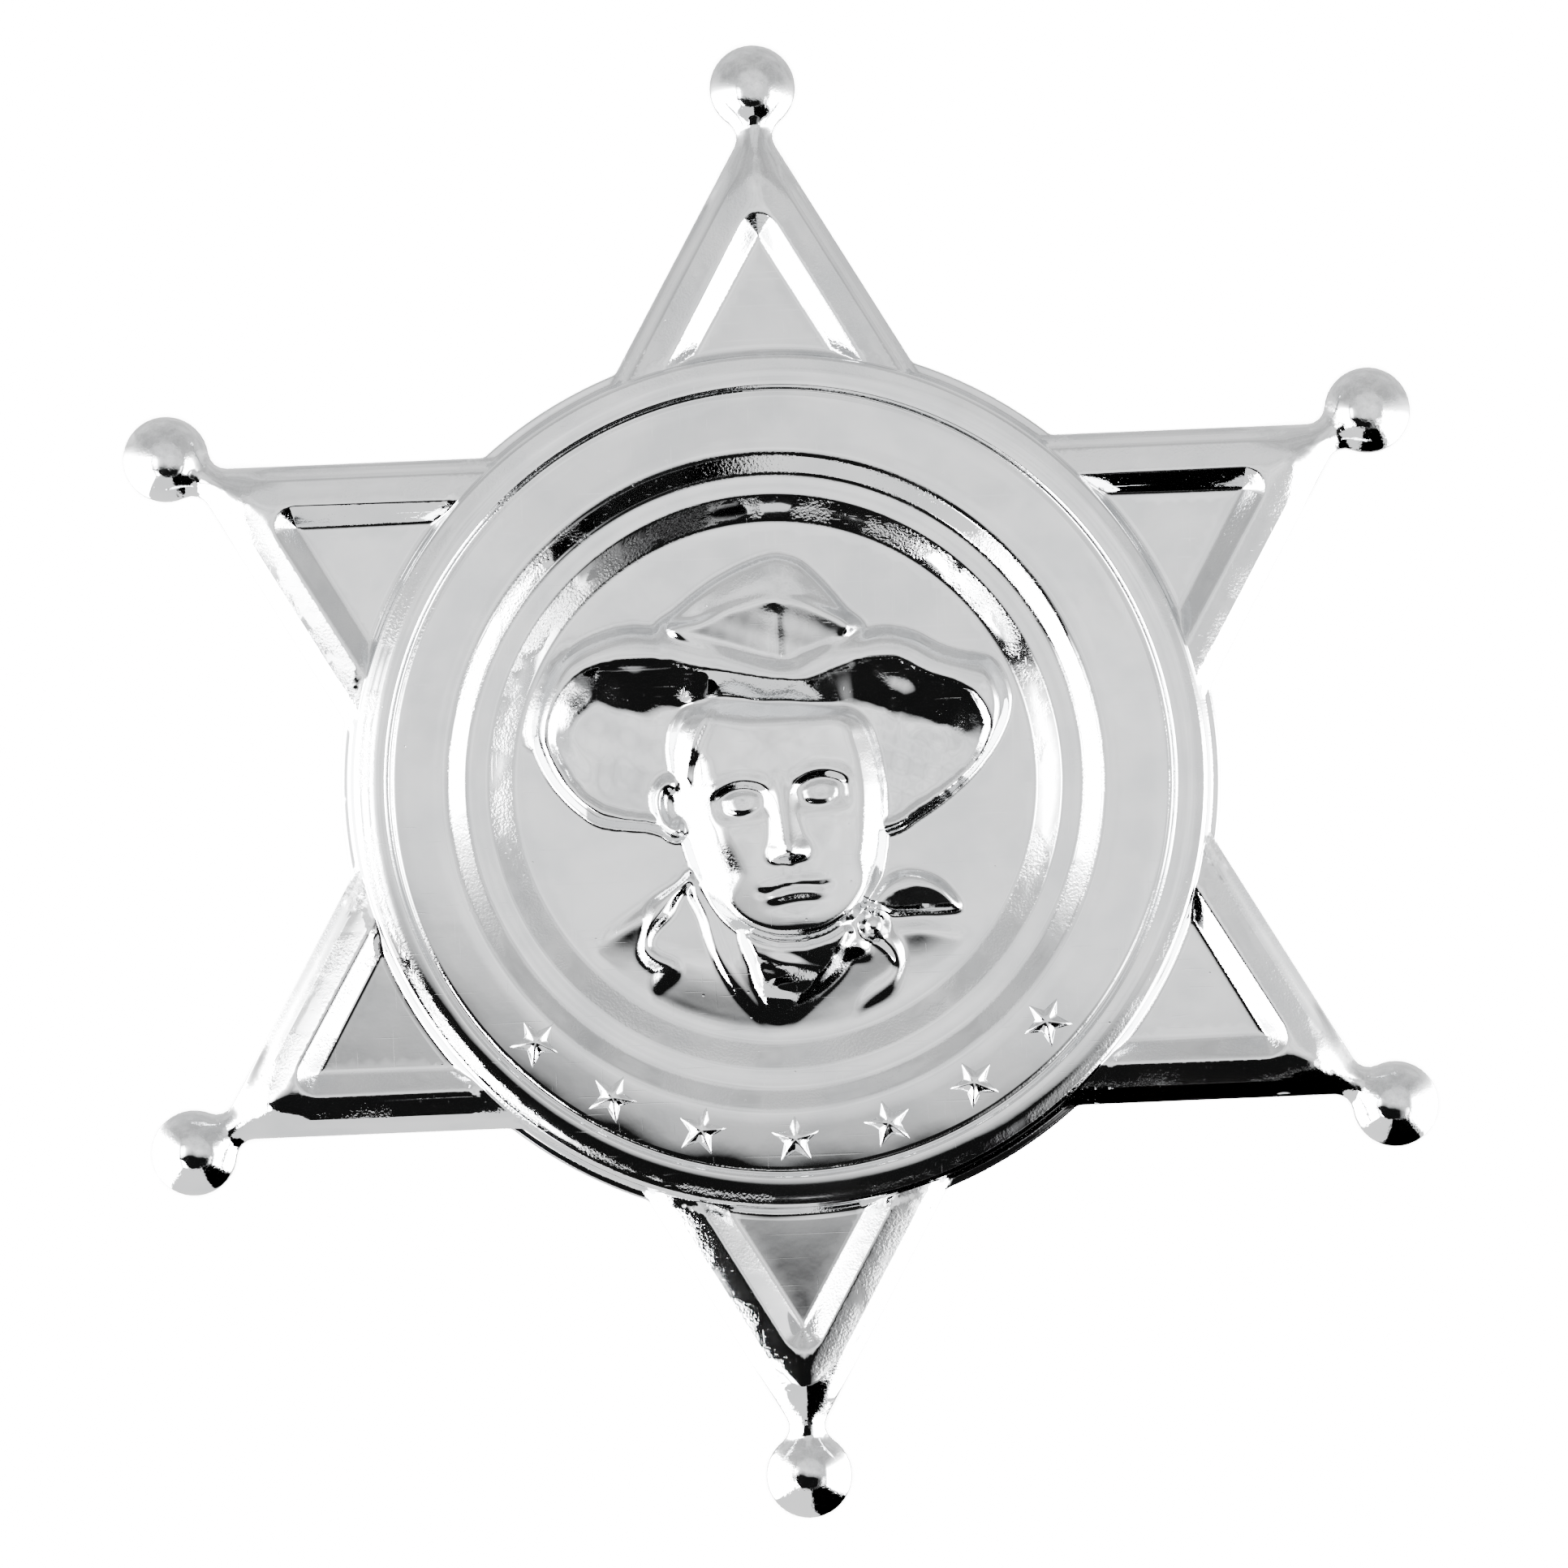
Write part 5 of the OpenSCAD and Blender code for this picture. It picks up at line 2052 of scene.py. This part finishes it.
# From the inner to the outer edge of the lids: place along X, and the cover along each row
LEFT_LID = (
    (-40.0, (0.0, 0.0, 0.0)),
    (-58.0, (0.02, 0.02, 0.0)),
    (-72.0, (0.12, 0.1, 0.0)),
    (-86.0, (1.0, 0.8, 0.0)),
    (-113.0, (1.0, 1.0, 0.0)),
)
RIGHT_LID = (
    (52.0, (0.0, 0.0, 0.0)),
    (70.0, (0.02, 0.02, 0.0)),
    (84.0, (0.08, 0.06, 0.0)),
    (96.0, (0.8, 0.5, 0.0)),
    (113.0, (1.0, 1.0, 0.0)),
)
CARDS = (
    SoftCard("left_card", WHITE, upright(-112.0, LEFT_ENDS, 118.0)),
    SoftCard("right_card", WHITE, upright(112.0, RIGHT_ENDS, 105.0)),
    SoftCard(
        "dark_card",
        0.0,
        tuple(
            tuple((x, -101.0, z, cover) for x in (92.0, 5.0))
            for z, cover in ((-400.0, 1.0), (96.0, 1.0), (108.0, 0.0))
        ),
    ),
    SoftCard(
        "left_lid",
        WHITE,
        level(
            [((x, -118.0), (x, 14.0), (x, 40.0)) for x, _ in LEFT_LID],
            [cover for _, cover in LEFT_LID],
            LID_H,
        ),
    ),
    SoftCard(
        "right_lid",
        WHITE,
        level(
            [((x, -105.0), (x, -62.0), (x, -40.0)) for x, _ in RIGHT_LID],
            [cover for _, cover in RIGHT_LID],
            LID_H,
        ),
    ),
    SoftCard(
        "dark_gap",
        0.008,
        level(
            [
                tuple((x, a) for x, a, _, _, _ in GAP),
                tuple((x, 0.45 * a + 0.55 * b) for x, a, b, _, _ in GAP),
                tuple((x, b) for x, _, b, _, _ in GAP),
                tuple((x, c) for x, _, _, c, _ in GAP),
            ],
            [[share * row[4] for row in GAP] for share in (0.0, 0.5, 1.0, 1.0)],
            100.0,
        ),
    ),
)


@dataclass(frozen=True)
class Studio:
    """Pale floor, soft light from all round with a darker gap at the foot, and the camera."""

    frame_w: float = 80.9
    distance: float = 700.0
    centre_px: tuple[float, float] = (962.0, 963.0)
    turn_deg: float = 2.36
    image_px: int = 1932
    sensor: float = 36.0
    # Sizes of the floor and height of its face, just under the badge
    floor_half: float = 900.0
    floor_z: float = -0.03
    # Light overhead, and further down: each light with the angles from straight up between which
    # it takes over
    overhead: float = 1.7
    sky: tuple[tuple[float, float, float], ...] = ((1.35, 6.0, 36.0), (0.8, 38.0, 56.0), (1.1, 84.0, 120.0))
    # Soft clouds and finer wisps: scale, detail, least and most share of the light
    clouds: tuple[tuple[float, float, float, float], ...] = ((2.6, 2.0, 0.8, 1.2), (15.0, 3.0, 0.86, 1.12))
    foot_glow: float = 1.35
    backdrop: float = 16.0

    def camera(self) -> bpy.types.Object:
        """Places the camera straight above the badge, as the photograph is taken.

        Returns:
            The camera.
        """
        data = bpy.data.cameras.new("camera")
        data.sensor_width = self.sensor
        data.lens = self.sensor * self.distance / self.frame_w
        data.clip_start, data.clip_end = 0.05, 20.0
        made = bpy.data.objects.new("camera", data)
        bpy.context.scene.collection.objects.link(made)
        scale = self.frame_w / self.image_px
        half = self.image_px / 2
        off = Vector(((half - self.centre_px[0]) * scale, (self.centre_px[1] - half) * scale, 0.0))
        roll = Matrix.Rotation(math.radians(-self.turn_deg), 4, "Z")
        off = roll @ off
        made.matrix_world = Matrix.Translation(Vector((off.x, off.y, self.distance)) * MM) @ roll
        bpy.context.scene.camera = made
        return made

    def floor(self) -> bpy.types.Object:
        """Lays the pale sheet that the badge lies on.

        Returns:
            The floor.
        """
        half = self.floor_half
        corners = np.array([(-half, -half), (half, -half), (half, half), (-half, half)])
        points = np.hstack([corners, np.full((4, 1), self.floor_z)])
        made = mesh_object("floor", points, [(0, 1, 2, 3)])
        paper = bpy.data.materials.new("white_card")
        paper.use_nodes = True
        base = paper.node_tree.nodes["Principled BSDF"]
        base.inputs["Base Color"].default_value = linear("#F6F6F6")
        base.inputs["Roughness"].default_value = 0.9
        made.data.materials.append(paper)
        # Bright metal is photographed with its surroundings, not with the card under it
        made.visible_glossy = False
        return made

    def lamp(self) -> bpy.types.Object:
        """Hangs a wide soft lamp over the floor.

        Returns:
            The lamp.
        """
        data = bpy.data.lights.new("overhead", "AREA")
        data.shape, data.size, data.energy = "DISK", 1.2, 520.0
        made = bpy.data.objects.new("overhead", data)
        made.location = (0.0, 0.0, 1.6)
        made.visible_glossy = False
        bpy.context.scene.collection.objects.link(made)
        return made

    def surround(self) -> None:
        """Sets the light of the room by direction: grey overhead, lighter low at the foot side."""
        world = bpy.data.worlds.new("studio")
        bpy.context.scene.world = world
        world.use_nodes = True
        tree = world.node_tree
        tree.nodes.clear()
        way = add_node(tree, "ShaderNodeTexCoord").outputs["Generated"]
        x, y, z = add_node(tree, "ShaderNodeSeparateXYZ", {0: way}).outputs
        # Angle from straight up, and azimuth with the foot side at 0, both in degrees
        up = add_node(tree, "ShaderNodeMath", {0: z}, operation="ARCCOSINE")
        down = add_node(tree, "ShaderNodeMath", {0: up, 1: DEGREE}, operation="MULTIPLY")
        turn = add_node(tree, "ShaderNodeMath", {0: y, 1: x}, operation="ARCTAN2")
        turn = add_node(tree, "ShaderNodeMath", {0: turn, 1: DEGREE}, operation="MULTIPLY")
        turn = add_node(tree, "ShaderNodeMath", {0: turn, 1: 90.0}, operation="ADD")
        foot = add_node(tree, "ShaderNodeMath", {0: turn, 1: 180.0, 2: -180.0}, operation="WRAP")
        light: Link = self.overhead
        for glow, start, end in self.sky:
            reach = {"Value": down, "From Min": start, "From Max": end}
            share = add_node(tree, "ShaderNodeMapRange", reach, interpolation_type=SOFT)
            light = add_node(tree, "ShaderNodeMix", {0: share, 2: light, 3: glow}, data_type="FLOAT")
        for scale, detail, low, high in self.clouds:
            lumps = {"Vector": way, "Scale": scale, "Detail": detail}
            noise = add_node(tree, "ShaderNodeTexNoise", lumps)
            reach = {"Value": noise, "From Min": 0.3, "From Max": 0.7, "To Min": low, "To Max": high}
            share = add_node(tree, "ShaderNodeMapRange", reach)
            light = add_node(tree, "ShaderNodeMath", {0: light, 1: share}, operation="MULTIPLY")
        # The glow at the foot lies between two azimuths and below an angle
        near: Link = 1.0
        for value, start, end in ((foot, -70.0, -62.0), (foot, 65.0, 55.0), (down, 36.0, 40.0)):
            reach = {"Value": value, "From Min": start, "From Max": end}
            share = add_node(tree, "ShaderNodeMapRange", reach, interpolation_type=SOFT)
            near = add_node(tree, "ShaderNodeMath", {0: near, 1: share}, operation="MULTIPLY")
        seen = add_node(tree, "ShaderNodeLightPath").outputs["Is Camera Ray"]
        for share, glow in ((near, self.foot_glow), (seen, self.backdrop)):
            light = add_node(tree, "ShaderNodeMix", {0: share, 2: light, 3: glow}, data_type="FLOAT")
        room = {"Color": PURE_WHITE, "Strength": light}
        add_node(tree, "ShaderNodeOutputWorld", {"Surface": add_node(tree, "ShaderNodeBackground", room)})

    def build(self) -> None:
        """Sets up camera, floor, lamp and surround."""
        self.camera()
        self.floor()
        self.lamp()
        for card in CARDS:
            card.build()
        self.surround()


def main() -> None:
    """Builds the badge and its studio, and reports each piece."""
    logging.basicConfig(level=logging.INFO, format="%(name)s: %(message)s")
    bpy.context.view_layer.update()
    Studio().build()
    plate = BrightPlate().make()
    steel = SatinSteel().make()
    made = [Shell().build(plate), BandStars().build(plate), BroochPin().build(steel)]
    for piece in made:
        triangles = sum(len(p.vertices) - 2 for p in piece.data.polygons)
        LOG.info("%s: %d triangles, %d open edges", piece.name, triangles, open_edges(piece))


if __name__ == "__main__":
    main()
